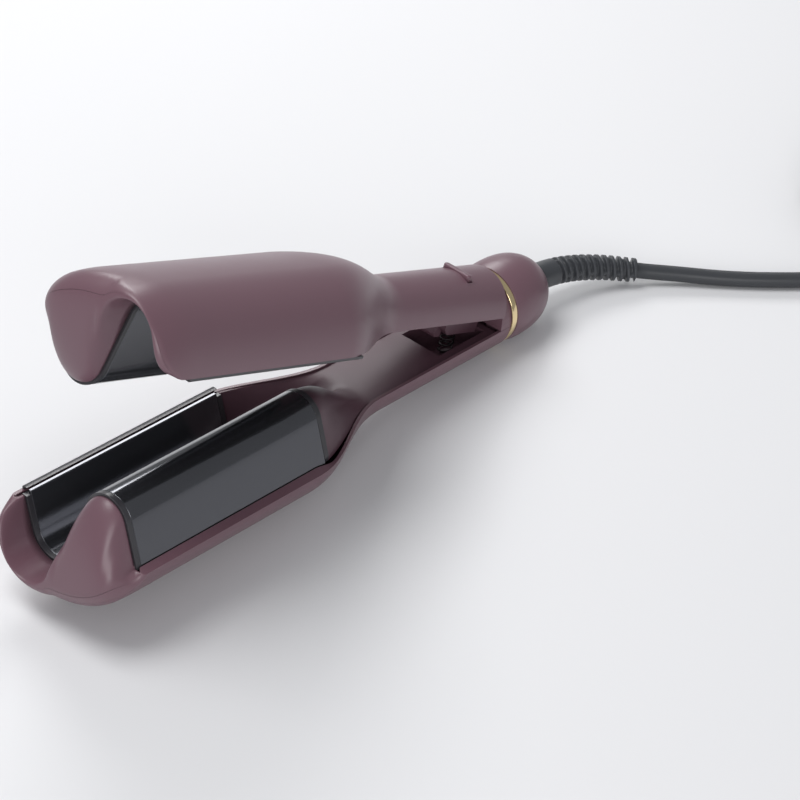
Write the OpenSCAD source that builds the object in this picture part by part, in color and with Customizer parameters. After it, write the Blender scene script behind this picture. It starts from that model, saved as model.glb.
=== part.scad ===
// Deep hair waver: two hinged arms with S-shaped heated plates, sprung open,
// lying on the underside of the lower head and on the rear cap.
// Lengths are in millimetres.  Arm frame: x = 0 at the front end of the plates
// and grows towards the cord, y = 0 is the middle, z = 0 is where the arms meet.
// The upper arm is the lower arm turned half a turn about x.

/* [Heating plates] */
// Length of each plate along the arm
plate_len = 110; // [90:1:130]
// Width across the plate, edge to edge
plate_w = 66; // [62:1:68]
// Distance across the arm from the crest to the trough
wave_pitch = 28.4; // [26:0.2:30]
// Height from the trough to the crest
wave_height = 48; // [42:1:49]
// Radius of the crest and of the trough
wave_r = 12; // [10.5:0.5:12.5]
// Thickness of the plate metal
plate_t = 1.5; // [1:0.1:1.6]
// Gap between the closed plates
plate_gap = 0.5; // [0.3:0.1:0.9]
// Height of the step down from the plate to the casing at its ends
plate_step = 1.4; // [0.8:0.1:1.6]

/* [Plate carrier] */
// Width of the visible dark border at each end of the plate
trim_w = 2.6; // [2:0.1:3.4]
// Thickness of the carrier under the plate
carrier_t = 1; // [0.8:0.1:1.2]
// Clearance between fitted pieces
fit_gap = 0.1; // [0.05:0.05:0.2]

/* [Heater] */
// Length of the heating element
heater_len = 80; // [60:1:84]
// Width of the heating element
heater_w = 12; // [8:0.5:13]
// Thickness of the heating element
heater_t = 3.5; // [2.5:0.1:4]
// Thickness of the clamp bar that presses the element up
clamp_t = 2; // [1.5:0.1:3]

/* [Head casing] */
// Overall width of the head
head_w = 74; // [73:1:82]
// Depth of one head half below the meeting plane
head_depth = 31; // [31:0.5:36]
// Sideways shift of the deepest line towards the trough
head_bias = 8; // [7:0.5:10]
// Distance from the plate to the front of the nose
nose_len = 21; // [19:0.5:26]
// Radius of the rounding around the nose
nose_r = 9; // [7:0.5:11]
// Sweep back of the nose at its rim, on the crest side
nose_sweep_near = 42; // [0:1:50]
// Sweep back of the nose at its rim, on the trough side
nose_sweep_far = 14; // [0:1:30]
// Thickness of the casing walls
shell_t = 1.6; // [1.4:0.1:1.8]
// Height of the casing lip below the meeting plane at the head
lip_drop = 2.5; // [2:0.1:3.5]

/* [Handle] */
// Diameter of the closed handle
handle_d = 34.6; // [34:0.2:40]
// Length over which the head narrows into the handle
taper_len = 59; // [50:1:80]
// Length of the slim handle from the taper to the trim ring
grip_len = 90; // [86:1:120]
// Depth of the inner cover below the casing rim
cover_recess = 1.2; // [0.8:0.1:1.6]
// Thickness of the inner cover
cover_t = 1.4; // [1:0.1:1.6]

/* [Hinge] */
// Diameter of the hinge pin
pin_d = 4; // [3:0.5:5]
// Distance from the front of the trim ring to the hinge pin
hinge_back = 13.8; // [13:0.2:15]
// Opening angle at rest
open_angle = 18.2; // [15:0.2:20]
// Radial clearance of the pin in its bush
pin_clear = 0.05; // [0.02:0.01:0.1]
// Width of the knuckle on the upper arm
knuckle_w = 12; // [9:0.5:14]

/* [Opening spring] */
// Outer diameter of the spring
spring_d = 7; // [6:0.2:7.6]
// Wire diameter of the spring
spring_wire = 0.9; // [0.6:0.1:1.2]
// Number of turns
spring_turns = 7; // [5:1:9]
// Distance from the spring to the hinge pin
spring_back = 38; // [37:0.5:40]
// Width of the spring housing that hangs from the upper arm
block_w = 16; // [13:0.5:17]
// Width of the well in the lower arm that the housing enters
well_w = 22; // [19:0.5:22]

/* [Rear end] */
// Width of the metal trim ring
ring_w = 3.5; // [2.5:0.1:5]
// Outer diameter of the trim ring
ring_d = 36.8; // [36:0.2:42]
// Largest diameter of the rear cap
cap_d = 38.4; // [38:0.2:44]
// Length of the rear cap behind the trim ring
cap_len = 32.5; // [31:0.5:40]
// Height of the rear cap's axis above the meeting plane
cap_raise = 1.8; // [1.2:0.1:2.2]

/* [Power button] */
// Width of the bar button across the handle
button_w = 15.4; // [12:0.2:18]
// Length of the bar button along the handle
button_l = 3.4; // [3:0.1:5]
// Height of the button above the casing
button_rise = 1; // [0.6:0.1:1.6]
// Button travel
button_travel = 0.8; // [0.5:0.1:1]
// Distance from the button to the hinge pin
button_back = 44.4; // [42:0.2:47]

/* [Cord] */
// Diameter of the mains cord
cord_d = 7.5; // [6:0.1:8]
// Largest diameter of the strain relief
relief_d = 13; // [12:0.2:14]
// Mean diameter of the coiled cord
coil_d = 90; // [70:1:110]
// Diameter of a plug pin
plug_pin_d = 4; // [4:0.1:4.8]
// Distance between the plug pins
plug_pitch = 19; // [17.5:0.1:19.5]

/* [Hidden] */
$fn = 64;

mauve = "#5a3d47";
inner_mauve = "#46303a";
plate_grey = "#35383f";
trim_grey = "#4a4b4f";
nylon = "#2b2b2e";
gold = "#d8c08a";
rubber = "#1b1b1d";

head_half = head_w / 2;
handle_r = handle_d / 2;
taper_x0 = plate_len - 7;
taper_x1 = taper_x0 + taper_len;
ring_x = taper_x1 + grip_len;
hinge_x = ring_x + hinge_back;
inner_inset = shell_t + fit_gap;

// ---- Small helpers ----
function unit(a) = [cos(a), sin(a)];
function mix(a, b, t) = a + (b - a) * t;
function ease(t) = let (u = min(1, max(0, t))) u * u * (3 - 2 * u);
function flip(list) = [for (i = [len(list) - 1 : -1 : 0]) list[i]];
function normal(v) = v / norm(v);

module along_x(x0, x1) { translate([x0, 0, 0]) rotate([90, 0, 90]) linear_extrude(x1 - x0) children(); }
module across(width) { rotate([90, 0, 0]) linear_extrude(width, center = true) children(); }
module turned_on_x(z) { translate([0, 0, z]) rotate([0, 90, 0]) rotate_extrude($fn = 96) children(); }
module pin_hole(d, width) { translate([hinge_x, 0, 0]) rotate([90, 0, 0]) cylinder(d = d, h = width, center = true); }
module box(x0, x1, y0, y1, z0, z1) { translate([x0, y0, z0]) cube([x1 - x0, y1 - y0, z1 - z0]); }

// A closed sheet between two grids of points.  The first grid is the lower or outer face.
// hole = [row, row, column, column] leaves a rectangular opening through it.
function sheet_quads(n, m, h) =
  let (o = n * m, solid = function (i, j) i < h[0] || i >= h[1] || j < h[2] || j >= h[3])
  concat(
    [for (i = [0 : n - 2], j = [0 : m - 2]) if (solid(i, j))
      each [[i * m + j, (i + 1) * m + j, (i + 1) * m + j + 1, i * m + j + 1],
            [o + i * m + j, o + i * m + j + 1, o + (i + 1) * m + j + 1, o + (i + 1) * m + j]]],
    [for (i = [0 : n - 2], j = [0, h[3]]) if (j == 0 || (i >= h[0] && i < h[1]))
      [i * m + j, o + i * m + j, o + (i + 1) * m + j, (i + 1) * m + j]],
    [for (i = [0 : n - 2], j = [m - 1, h[2]]) if (j == m - 1 || (i >= h[0] && i < h[1]))
      [i * m + j, (i + 1) * m + j, o + (i + 1) * m + j, o + i * m + j]],
    [for (i = [0, h[1]], j = [0 : m - 2]) if (i == 0 || (j >= h[2] && j < h[3]))
      [i * m + j, i * m + j + 1, o + i * m + j + 1, o + i * m + j]],
    [for (i = [n - 1, h[0]], j = [0 : m - 2]) if (i == n - 1 || (j >= h[2] && j < h[3]))
      [i * m + j, o + i * m + j, o + i * m + j + 1, i * m + j + 1]]);
module sheet(under, over, hole = [-1, -1, -1, -1]) {
  quads = sheet_quads(len(under), len(under[0]), hole);
  polyhedron(points = [for (row = concat(under, over)) each row],
             faces = [for (f = quads) each [[f[0], f[1], f[2]], [f[0], f[2], f[3]]]]);
}

// A closed tube along a path, with one radius for each point
function frame(path, i) =
  let (t = normal(path[min(i + 1, len(path) - 1)] - path[max(i - 1, 0)]), s = normal(cross(t, [0, 0, 1])))
  [s, cross(s, t)];
module tube(path, radii, sides = 8) {
  last = len(path) - 1;
  points = [for (i = [0 : last]) let (f = frame(path, i))
    for (k = [0 : sides - 1]) path[i] + radii[i] * (f[0] * cos(k * 360 / sides) + f[1] * sin(k * 360 / sides))];
  walls = [for (i = [0 : last - 1], k = [0 : sides - 1])
    let (a = i * sides, b = a + sides, n = (k + 1) % sides)
    each [[a + k, a + n, b + n], [a + k, b + n, b + k]]];
  polyhedron(points = points,
             faces = concat(walls, [[for (k = [sides - 1 : -1 : 0]) k]],
                            [[for (k = [0 : sides - 1]) last * sides + k]]));
}
// A smooth path through hand-placed points, with parts steps between two of them
function curve_at(p, i, t) =
  let (n = len(p) - 1, a = p[max(i - 1, 0)], b = p[i], c = p[min(i + 1, n)], d = p[min(i + 2, n)])
  0.5 * (2 * b + (c - a) * t + (2 * a - 5 * b + 4 * c - d) * t * t + (3 * b - a - 3 * c + d) * t * t * t);
function smooth(p, parts) =
  concat([for (i = [0 : len(p) - 2], k = [0 : parts - 1]) curve_at(p, i, k / parts)], [p[len(p) - 1]]);
function even(path, r) = [for (p = path) r];

// ---- Wave curve: outer flanks, crest and trough arcs, steep middle; d is the depth below it ----
wave_b = wave_pitch / 2;
wave_m = wave_height / 2 - wave_r;
arc_steps = 12;
flank_steps = 3;
mid_angle = acos(wave_r / norm([wave_b, wave_m])) - atan(wave_m / wave_b);
flank_foot = [-plate_w / 2, -lip_drop];
foot_to_crest = [-wave_b, wave_m] - flank_foot;
flank_dir = atan2(foot_to_crest[1], foot_to_crest[0]) + asin(wave_r / norm(foot_to_crest));

function on_flank(p, z) = p + unit(flank_dir) * (z - p[1]) / sin(flank_dir);
function wave(d, z_near = -lip_drop, z_far = -lip_drop) =
  let (crest = [-wave_b, wave_m], trough = [wave_b, -wave_m], r1 = wave_r - d, r2 = wave_r + d,
       a0 = flank_dir + 90, t0 = crest + r1 * unit(a0), t1 = crest + r1 * unit(mid_angle),
       t2 = trough - r2 * unit(mid_angle), t3 = trough - r2 * unit(a0),
       e0 = on_flank(t0, z_near), e1 = on_flank(t3, z_far))
  concat(
    [for (i = [0 : flank_steps]) mix(e0, t0, i / (flank_steps + 1))],
    [for (i = [0 : arc_steps]) crest + r1 * unit(mix(a0, mid_angle, i / arc_steps))],
    [for (i = [1 : flank_steps]) mix(t1, t2, i / (flank_steps + 1))],
    [for (i = [0 : arc_steps]) trough + r2 * unit(mix(mid_angle, a0, i / arc_steps) + 180)],
    [for (i = [1 : flank_steps + 1]) mix(t3, e1, i / (flank_steps + 1))]);
wave_columns = 2 * (arc_steps + 1) + 3 * flank_steps + 2;

// ---- Pose: the lower arm tips back until its head and the rear cap both touch the floor ----
floor_cut = 0.35;
cap_belly = hinge_x - 2.8;
rest_tilt = atan((head_depth - cap_d / 2 + cap_raise) / (cap_belly - taper_x0));
rest_lift = taper_x0 * sin(rest_tilt) + head_depth * cos(rest_tilt) - floor_cut;
function floor_z(x) = (x * sin(rest_tilt) - rest_lift) / cos(rest_tilt);
function world_x(x, z) = x * cos(rest_tilt) + z * sin(rest_tilt);

// ---- Casing section: near and far quarters of two ellipses that share the deepest line ----
function shrink(x, from, over, power) = 1 - ease(pow(max(0, (x - from) / over), power));
function width_at(x) = mix(handle_r, head_half, shrink(x, taper_x0, taper_len, 1));
function bias_at(x) = head_bias * shrink(x, taper_x0, taper_len, 1);
function depth_at(x) = mix(handle_r, head_depth, shrink(x, taper_x0 - 2, taper_len + 8, 1.7));
function lip_at(x) = mix(0.2, lip_drop, shrink(x, taper_x0, taper_len, 1));
function reach_at(x, y) = width_at(x) + (y < bias_at(x) ? bias_at(x) : -bias_at(x));

section_steps = 24;
button_span = asin((button_w / 2 + 0.5) / handle_r);
function section_angle(i, a0) = let (k = section_steps / 3, b0 = 90 - button_span)
  i <= k ? mix(a0, b0, i / k) : i < 2 * k ? mix(b0, 180 - b0, i / k - 1) : mix(180 - b0, 180 - a0, i / k - 2);
function section(x, inset, rests, under = 0) =
  let (y0 = bias_at(x), d = depth_at(x) - inset, a0 = asin(lip_at(x) / d))
  [for (i = [0 : section_steps])
    let (a = section_angle(i, a0), reach = reach_at(x, y0 - cos(a)) - inset, z = -d * sin(a))
    [x, y0 - reach * cos(a), rests ? max(z, floor_z(x) + under) : z]];
// Around the nose the section shrinks along a quarter circle of radius nose_r
round_x = nose_r - nose_len;
function nose_section(a, off, rests) =
  let (r = nose_r - off, inset = off + r * (1 - cos(a)))
  [for (p = section(round_x, inset, rests, off)) swept([round_x - r * sin(a), p[1], p[2]])];
// The rim of the nose lies further back than its middle
sweep_x = -trim_w - fit_gap;
sweep_limit = 16;
function swept(p) =
  let (v = [(p[1] - bias_at(0)) / reach_at(0, p[1]), -min(0, p[2]) / head_depth], a = atan2(v[1], abs(v[0])),
       most = min(sweep_limit, (p[1] < bias_at(0) ? nose_sweep_near : nose_sweep_far) * exp(-a / 12)),
       share = max(0, sweep_x - p[0]) / (nose_len + sweep_x))
  [p[0] + most * share, p[1], p[2]];
// A point of an inner piece, drawn in until it clears the casing wall by inset
function inside(x, p, inset) =
  let (y0 = bias_at(x), dy = (p[0] - y0) / (reach_at(x, p[0]) - inset), dz = min(0, p[1]) / (depth_at(x) - inset),
       r = max(1, norm([dy, dz])))
  [y0 + (p[0] - y0) / r, p[1] < 0 ? p[1] / r : p[1]];

// ---- Casing shells ----
near_lip = head_half - plate_w / 2 - fit_gap;
function lip_on_nose(a) = (near_lip - shell_t) * pow(cos(a), 2);
shell_angles = [74, 60, 45, 30, 15];
module arm_shell(rear_x, rests, slot_x) {
  slot = button_l / 2 + 0.2;
  xs = concat([round_x, (round_x + sweep_x) / 2, sweep_x, plate_len * 0.4, taper_x0 - 6],
              [for (i = [0 : 16]) taper_x0 + taper_len * i / 15],
              slot_x > 0 ? [slot_x - slot, slot_x + slot] : [], [rear_x]);
  station = function (x, off) [for (p = section(x, off, rests, off)) swept(p)];
  outer = concat([for (a = shell_angles) nose_section(a, 0, rests)], [for (x = xs) station(x, 0)]);
  inner = concat([for (a = shell_angles) nose_section(a, shell_t, rests)], [for (x = xs) station(x, shell_t)]);
  // The lip beside the plate is as wide as the room between the plate and the outside
  lips = concat([for (a = shell_angles) lip_on_nose(a)],
                [for (x = xs) (near_lip - shell_t) * shrink(x, taper_x0, 12, 1)]);
  lipped = [for (i = [0 : len(inner) - 1])
    [for (j = [0 : section_steps]) j == 0 ? inner[i][0] + [0, lips[i], 0] : inner[i][j]]];
  k = section_steps / 3;
  row = len(shell_angles) + len(xs) - 3;
  sheet(outer, lipped, slot_x > 0 ? [row, row + 1, k, 2 * k] : [-1, -1, -1, -1]);
}

// ---- Nose cap: the wave runs on over the nose and falls round to its front ----
nose_rows = 10;
cap_angle = 76;
nose_edge = plate_w / 2;
function nose_low(y, inset, d) =
  let (reach = reach_at(0, y) - inset, dep = depth_at(0) - inset)
  min(-lip_drop - d, -dep * sqrt(max(0, 1 - pow((y - bias_at(0)) / reach, 2))));
function drawn_in(y, w) =
  sign(y) * min(abs(y), w / 2 + max(0, abs(y) - w / 2) * (w / 2) / (nose_edge - w / 2));
function nose_point(p, i, xb, inset, d) =
  let (q = 90 * i / (nose_rows - 1), power = mix(2 / 3, 1, ease((p[1] + 12) / 24)),
       u = pow(sin(q), power), v = 1 - pow(cos(q), power), y = drawn_in(p[0], head_half - inset))
  let (low = nose_low(y, inset, d))
  [mix(sweep_x - 1, swept([xb, y, low])[0], u), mix(p[0], y, v), mix(p[1], low, v)];
// Its near edge follows the lip of the shell
function nose_brink(i, d) =
  let (a = cap_angle * i / (nose_rows - 1), r = nose_r - inner_inset,
       y = lip_on_nose(a) + fit_gap + inner_inset + r * (1 - cos(a)) - head_half)
  swept([round_x - r * sin(a), y, -lip_drop - d]);
function nose_grid(d) =
  let (r = nose_r - d, inset = d + r * (1 - cos(cap_angle)), xb = round_x - r * sin(cap_angle),
       top = [for (p = wave(plate_step + d)) inside(0, p, d > 0 ? inner_inset : inner_inset + 0.5)])
  concat([[for (p = top) [sweep_x, p[0], p[1]]]],
         [for (i = [0 : nose_rows - 1]) [for (j = [0 : len(top) - 1])
           j == 0 ? nose_brink(i, d) : nose_point(top[j], i, xb, inset, d)]]);
module arm_nose_cap() { sheet(flip(nose_grid(cover_t)), flip(nose_grid(0))); }

// ---- Inner cover: the wave flattens into the inner face of the handle ----
cover_x0 = plate_len + trim_w + fit_gap;
cover_x1 = hinge_x - 21.4;
ramp_x1 = taper_x1 + 2;
ramp_rows = 14;
hole_columns = [4, wave_columns - 5];
function flat_y(j, half, hole) =
  let (a = hole_columns[0], b = hole_columns[1], n = wave_columns - 1)
  j <= a ? mix(-half, -hole, j / a) : j < b ? mix(-hole, hole, (j - a) / (b - a)) : mix(hole, half, (j - b) / (n - b));
function cover_grid(d, hole, hole_xs) =
  let (top = wave(plate_step + d), edge_t = d > 0 ? 0 : 0.5)
  [for (x = concat([for (i = [0 : ramp_rows]) mix(cover_x0, ramp_x1, i / ramp_rows)], hole_xs, [cover_x1]))
    let (s = ease((x - cover_x0) / (ramp_x1 - cover_x0) * 1.08), half = width_at(x) - inner_inset)
    [for (j = [0 : len(top) - 1])
      let (y = mix(top[j][0] * width_at(x) / width_at(cover_x0), flat_y(j, half, hole), s),
           z = mix(top[j][1], -cover_recess - d, s), p = inside(x, [y, z], inner_inset + edge_t))
      [x, p[0], p[1]]]];
module arm_inner_cover(hole, hole_xs) {
  rows = [ramp_rows + 1, ramp_rows + 2];
  sheet(cover_grid(cover_t, hole, hole_xs), cover_grid(0, hole, hole_xs),
        [rows[0], rows[1], hole_columns[0], hole_columns[1]]);
}

// ---- Plate, carrier and heater, the same in both arms ----
plate_d0 = plate_gap / 2;
plate_d1 = plate_d0 + plate_t;
carrier_d0 = plate_d1 + fit_gap;
carrier_d1 = carrier_d0 + carrier_t;
carrier_far_z = -14;
window_z = wave_m + 2;
heater_x0 = (plate_len - heater_len) / 2;
thermistor_l = 3.5;
end_zone = heater_x0 - thermistor_l - 3.5;
module wave_layer(x0, x1, d0, d1, z_far = -lip_drop) {
  fit = function (d, inset) [for (p = wave(d, z_far = z_far)) inside(x1, p, inset)];
  along_x(x0, x1) polygon(concat(fit(d0, inner_inset + d1 - d0), flip(fit(d1, inner_inset))));
}
module crest_segment(x0, x1, r, z0) {
  along_x(x0, x1) translate([-wave_b, wave_m]) intersection() {
    circle(r);
    translate([-r, z0 - wave_m]) square([2 * r, r]);
  }
}
saddle_z = window_z + fit_gap;
heater_z = saddle_z - heater_t;
clamp_z = heater_z - clamp_t;
clamp_screw_xs = [end_zone / 2, plate_len - end_zone / 2];
screw_d = 2;

module arm_plate() { wave_layer(0, plate_len, plate_d0, plate_d1); }
module arm_carrier() {
  difference() {
    union() {
      wave_layer(-trim_w, plate_len + 1, carrier_d0, carrier_d1, carrier_far_z);
      wave_layer(-trim_w, -fit_gap / 2, plate_d0, carrier_d0 + carrier_t / 2);
      wave_layer(plate_len + fit_gap / 2, plate_len + trim_w, plate_d0, carrier_d0 + carrier_t / 2);
      crest_segment(0, end_zone, wave_r - carrier_d0 - carrier_t / 2, heater_z);
      crest_segment(plate_len - end_zone, plate_len, wave_r - carrier_d0 - carrier_t / 2, heater_z);
    }
    box(end_zone, plate_len - end_zone, -wave_b - wave_r, -wave_b + wave_r, window_z, wave_height / 2 + 1);
    for (x = clamp_screw_xs) translate([x, -wave_b, heater_z - 1]) cylinder(d = screw_d, h = 7);
  }
}
module arm_saddle() {
  crest_segment(end_zone + fit_gap, plate_len - end_zone - fit_gap, wave_r - plate_d1 - fit_gap, saddle_z);
}
module arm_heater() {
  box(heater_x0, heater_x0 + heater_len, -wave_b - heater_w / 2, -wave_b + heater_w / 2, heater_z, saddle_z);
}
module arm_thermistor() {
  x = heater_x0 + heater_len + 1;
  box(x, x + thermistor_l, -wave_b - 1.5, -wave_b + 1.5, heater_z, saddle_z);
}
module arm_clamp() {
  difference() {
    box(1, plate_len - 1, -wave_b - heater_w / 2, -wave_b + heater_w / 2, clamp_z, heater_z);
    for (x = clamp_screw_xs) translate([x, -wave_b, clamp_z - 1]) cylinder(d = screw_d, h = clamp_t + 2);
  }
}
module screw(head_d, head_h, length) {
  translate([0, 0, -head_h]) cylinder(d = head_d, h = head_h);
  cylinder(d = screw_d, h = length);
}
module arm_clamp_screws() { for (x = clamp_screw_xs) translate([x, -wave_b, clamp_z]) screw(3.8, 1.4, clamp_t + 6); }

lead_r = 0.8;
module lead(points) { tube(smooth(points, 4), even(smooth(points, 4), lead_r), 6); }
lead_side = -wave_b - heater_w / 2 - lead_r - 0.05;
function heater_route(side, end_x) = [
  [end_x, side * 2, -8], [taper_x1 + 10, side * 2, -8], [taper_x0 + 47, side * 2, -8],
  [taper_x0 + 29, side * 2 - 4, -9],
  [taper_x0 + 17, side * 1.8 - 9, -7], [taper_x0 + 7, side * 1.7 - 14, -3],
  [taper_x0 - 4 + side * 0.8, lead_side + side * 0.7, heater_z - 9 + side * 0.9],
  [taper_x0 - 13 + side * 0.8, lead_side, heater_z + 0.5 + side * 0.9],
  [heater_x0 + heater_len - 14, lead_side, heater_z + 1.6 + side * 0.9]];
module arm_heater_leads(end_x) { for (side = [-1, 1]) lead(heater_route(side, end_x)); }

// ---- Lower arm ----
module lower_shell() { color(mauve) arm_shell(ring_x, true, 0); }
module lower_nose_cap() { color(mauve) arm_nose_cap(); }
well_x0 = hinge_x - 56.8;
well_x1 = hinge_x - 25;
module lower_inner_cover() { color(inner_mauve) arm_inner_cover(well_w / 2, [well_x0, well_x1]); }
module lower_plate() { color(plate_grey) arm_plate(); }
module lower_plate_carrier() { color(trim_grey) arm_carrier(); }
module lower_heat_saddle() { color("silver") arm_saddle(); }
module lower_heater() { color("wheat") arm_heater(); }
module lower_thermistor() { color("orange") arm_thermistor(); }
module lower_heater_clamp() { color("gray") arm_clamp(); }
module lower_clamp_screws() { color("silver") arm_clamp_screws(); }
module lower_heater_leads() { color("white") arm_heater_leads(terminal_x0); }

// The well under the inner cover, with a seat and a boss for the spring
well_t = 1.2;
well_r = handle_r - shell_t - fit_gap;
well_top = -cover_recess - cover_t - fit_gap;
seat_z = -(well_r - well_t) + 0.8;
module round_box(x0, x1, half, r) {
  intersection() {
    box(x0, x1, -half, half, -r, well_top);
    translate([x0, 0, 0]) rotate([0, 90, 0]) cylinder(r = r, h = x1 - x0);
  }
}
module spring_well() {
  color(nylon) {
    difference() {
      round_box(well_x0 - well_t, well_x1 + well_t, well_w / 2 + well_t, well_r);
      round_box(well_x0, well_x1, well_w / 2, well_r - well_t);
      box(well_x0, well_x1, -well_w / 2, well_w / 2, well_top - 1, 0);
    }
    translate([hinge_x - spring_back, 0, -well_r + well_t / 2]) {
      cylinder(d = spring_d + 2, h = seat_z + well_r - well_t / 2);
      cylinder(d = spring_d - 2 * spring_wire - 0.6, h = seat_z + well_r - well_t / 2 + 2.5);
    }
  }
}
// At rest the spring leans from its seat in the well to its seat in the housing
chamber_z = -1;
function opened(x, z) = [x * cos(open_angle) + z * sin(open_angle), -x * sin(open_angle) + z * cos(open_angle)];
spring_top = opened(-spring_back, chamber_z);
spring_foot = [-spring_back, seat_z + 0.25];
spring_gap = norm(spring_top - spring_foot);
spring_lean = atan2(spring_top[0] - spring_foot[0], spring_top[1] - spring_foot[1]);
spring_len = spring_gap - spring_d / 2 * sin(open_angle - spring_lean) - fit_gap;
module spring_coil() {
  per_turn = 18;
  sides = 6;
  r = (spring_d - spring_wire) / 2;
  n = spring_turns * per_turn;
  centre = function (i) [r * cos(i * 360 / per_turn), r * sin(i * 360 / per_turn),
                         mix(spring_wire / 2, spring_len - spring_wire / 2, i / n)];
  points = [for (i = [0 : n], k = [0 : sides - 1])
    let (a = i * 360 / per_turn, b = k * 360 / sides)
    centre(i) + spring_wire / 2 * [cos(a) * cos(b), sin(a) * cos(b), sin(b)]];
  walls = [for (i = [0 : n - 1], k = [0 : sides - 1]) let (a = i * sides, b = a + sides, m = (k + 1) % sides)
    each [[a + k, b + m, b + k], [a + k, a + m, b + m]]];
  polyhedron(points = points, faces = concat(walls, [[for (k = [sides - 1 : -1 : 0]) k]],
                                             [[for (k = [0 : sides - 1]) n * sides + k]]));
}
module opening_spring() {
  color("silver") translate([hinge_x + spring_foot[0], 0, spring_foot[1]]) rotate([0, spring_lean, 0])
    spring_coil();
}

// Hinge housing: collar, seat for the trim ring, cheeks for the pin and a tunnel for the cord
collar_top = ring_d / 2 + cap_raise - 0.9;
housing_x1 = hinge_x + 5.2;
cap_x0 = ring_x + ring_w;
cap_x1 = cap_x0 + cap_len;
cap_reach = (cap_x1 - cap_belly) / 0.957;
cap_power = 2.4;
cap_wall = 1.9;
spigot_r = min(ring_d / 2, cap_r(housing_x1)) - cap_wall;
ring_seat_r = ring_d / 2 - 1.1;
collar_step_r = min(well_r - 1, ring_seat_r - cap_raise);
slot_w = knuckle_w + 0.6;
slot_z0 = -5.7;
slot_z1 = collar_top - 3;
tunnel_z = -10.3;
tunnel_r = 3.9;
sweep_clear = 0.2;
module collar_body() {
  intersection() {
    along_x(hinge_x - 22, ring_x) polygon(concat(
      [for (a = [0 : 7.5 : 180]) [handle_r * cos(a), max(collar_top, handle_r) * sin(a)]],
      [[-handle_r, 0]]));
    // The front follows the sweep of the upper casing's end
    translate([hinge_x, 0, 0]) across(handle_d) polygon(concat(
      [for (a = [0 : open_angle / 4 : open_angle]) -(21 - sweep_clear) * [cos(a), -sin(a)]],
      [[-(21 - sweep_clear) * cos(open_angle) + (collar_top + 2 - 21 * sin(open_angle)) * tan(open_angle), collar_top + 2],
       [0, collar_top + 2], [0, 0]]));
  }
}
module hinge_housing() {
  color(mauve) difference() {
    union() {
      collar_body();
      translate([ring_x - 4, 0, 0]) rotate([0, 90, 0]) cylinder(r = well_r, h = 4);
      translate([ring_x - 4, 0, 0]) rotate([0, 90, 0]) cylinder(r = collar_step_r, h = 4.5);
      translate([ring_x, 0, cap_raise]) rotate([0, 90, 0]) cylinder(r = ring_seat_r, h = ring_w);
      translate([ring_x, 0, cap_raise]) rotate([0, 90, 0]) cylinder(r = spigot_r, h = housing_x1 - ring_x);
    }
    box(hinge_x - 30, housing_x1 + 1, -slot_w / 2, slot_w / 2, slot_z0, slot_z1);
    translate([ring_x - 5, 0, tunnel_z]) rotate([0, 90, 0]) cylinder(r = tunnel_r, h = 40);
    pin_hole(pin_d + 0.04, 60);
  }
}
pin_len = 2 * spigot_r - 8;
module hinge_pin() { color("silver") pin_hole(pin_d, pin_len); }
module trim_ring() {
  a = ring_seat_r + fit_gap / 2;
  b = ring_d / 2;
  color(gold) translate([ring_x, 0, 0]) turned_on_x(cap_raise)
    polygon([[a, 0], [b - 0.6, 0], [b, 0.6], [b, ring_w - 0.6], [b - 0.6, ring_w], [a, ring_w]]);
}

// Rear cap: a thin bulb turned about its own axis, cut flat where it touches the floor
neck_r = 4.8;
function cap_r(x) = x < cap_belly
  ? mix(ring_d / 2, cap_d / 2, sin(90 * (x - cap_x0) / (cap_belly - cap_x0)))
  : cap_d / 2 * pow(1 - pow((x - cap_belly) / cap_reach, cap_power), 1 / cap_power);
cap_xs = concat([for (i = [0 : 3]) mix(cap_x0, cap_belly, i / 4)],
                [for (i = [0 : 14]) mix(cap_belly, cap_x1, sin(90 * i / 14))]);
module rear_cap() {
  inner = [for (x = flip(cap_xs)) if (x < cap_x1 - 2) [cap_r(x) - cap_wall, x]];
  color(mauve) difference() {
    turned_on_x(cap_raise) polygon(concat(
      [for (x = cap_xs) [cap_r(x), x]],
      [[neck_r + fit_gap, cap_x1], [neck_r + fit_gap, cap_x1 - 2], [inner[0][0], cap_x1 - 2]], inner));
    translate([0, 0, floor_z(0)]) rotate([0, -rest_tilt, 0]) box(cap_x0, cap_x1 + 20, -30, 30, -20, 0);
  }
}

// Wiring inside the lower handle
terminal_x0 = hinge_x - 78;
terminal_x1 = terminal_x0 + 12;
module terminal_block() {
  color("gainsboro") box(terminal_x0, terminal_x1, -6, 6, -sqrt(pow(well_r, 2) - 36), -7);
}
bypass_y = well_w / 2 + well_t + lead_r + 0.8;
function mains_route(side) = [
  [ring_x - 2, side * 1.6, tunnel_z], [ring_x - 3.4, side * 1.8, tunnel_z],
  [ring_x - 6, side * 4.4, -10], [well_x1 + 3.6, side * 9, -8.4],
  [well_x1 + 2.8, side * 12.9, -6], [well_x1 - 1, side * bypass_y, -4.8],
  [well_x1 - 12, side * bypass_y, -4.8], [well_x0 + 4, side * bypass_y, -4.8], [well_x0 - 4, side * 11.4, -7],
  [terminal_x1 + 2.5, side * 4.2, -9], [terminal_x1 + 0.3, side * 4, -9]];
module mains_leads() { color("saddlebrown") for (side = [-1, 1]) lead(mains_route(side)); }
flange_x = cap_x1 - 4;
inner_end_x = flange_x - 0.1;
inner_bend = [[0, 0], [0.06, 0], [0.13, 0], [0.3, 0.08], [0.48, 0.36], [0.64, 0.72], [0.8, 0.94], [0.98, 1], [1.1, 1]];
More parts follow.
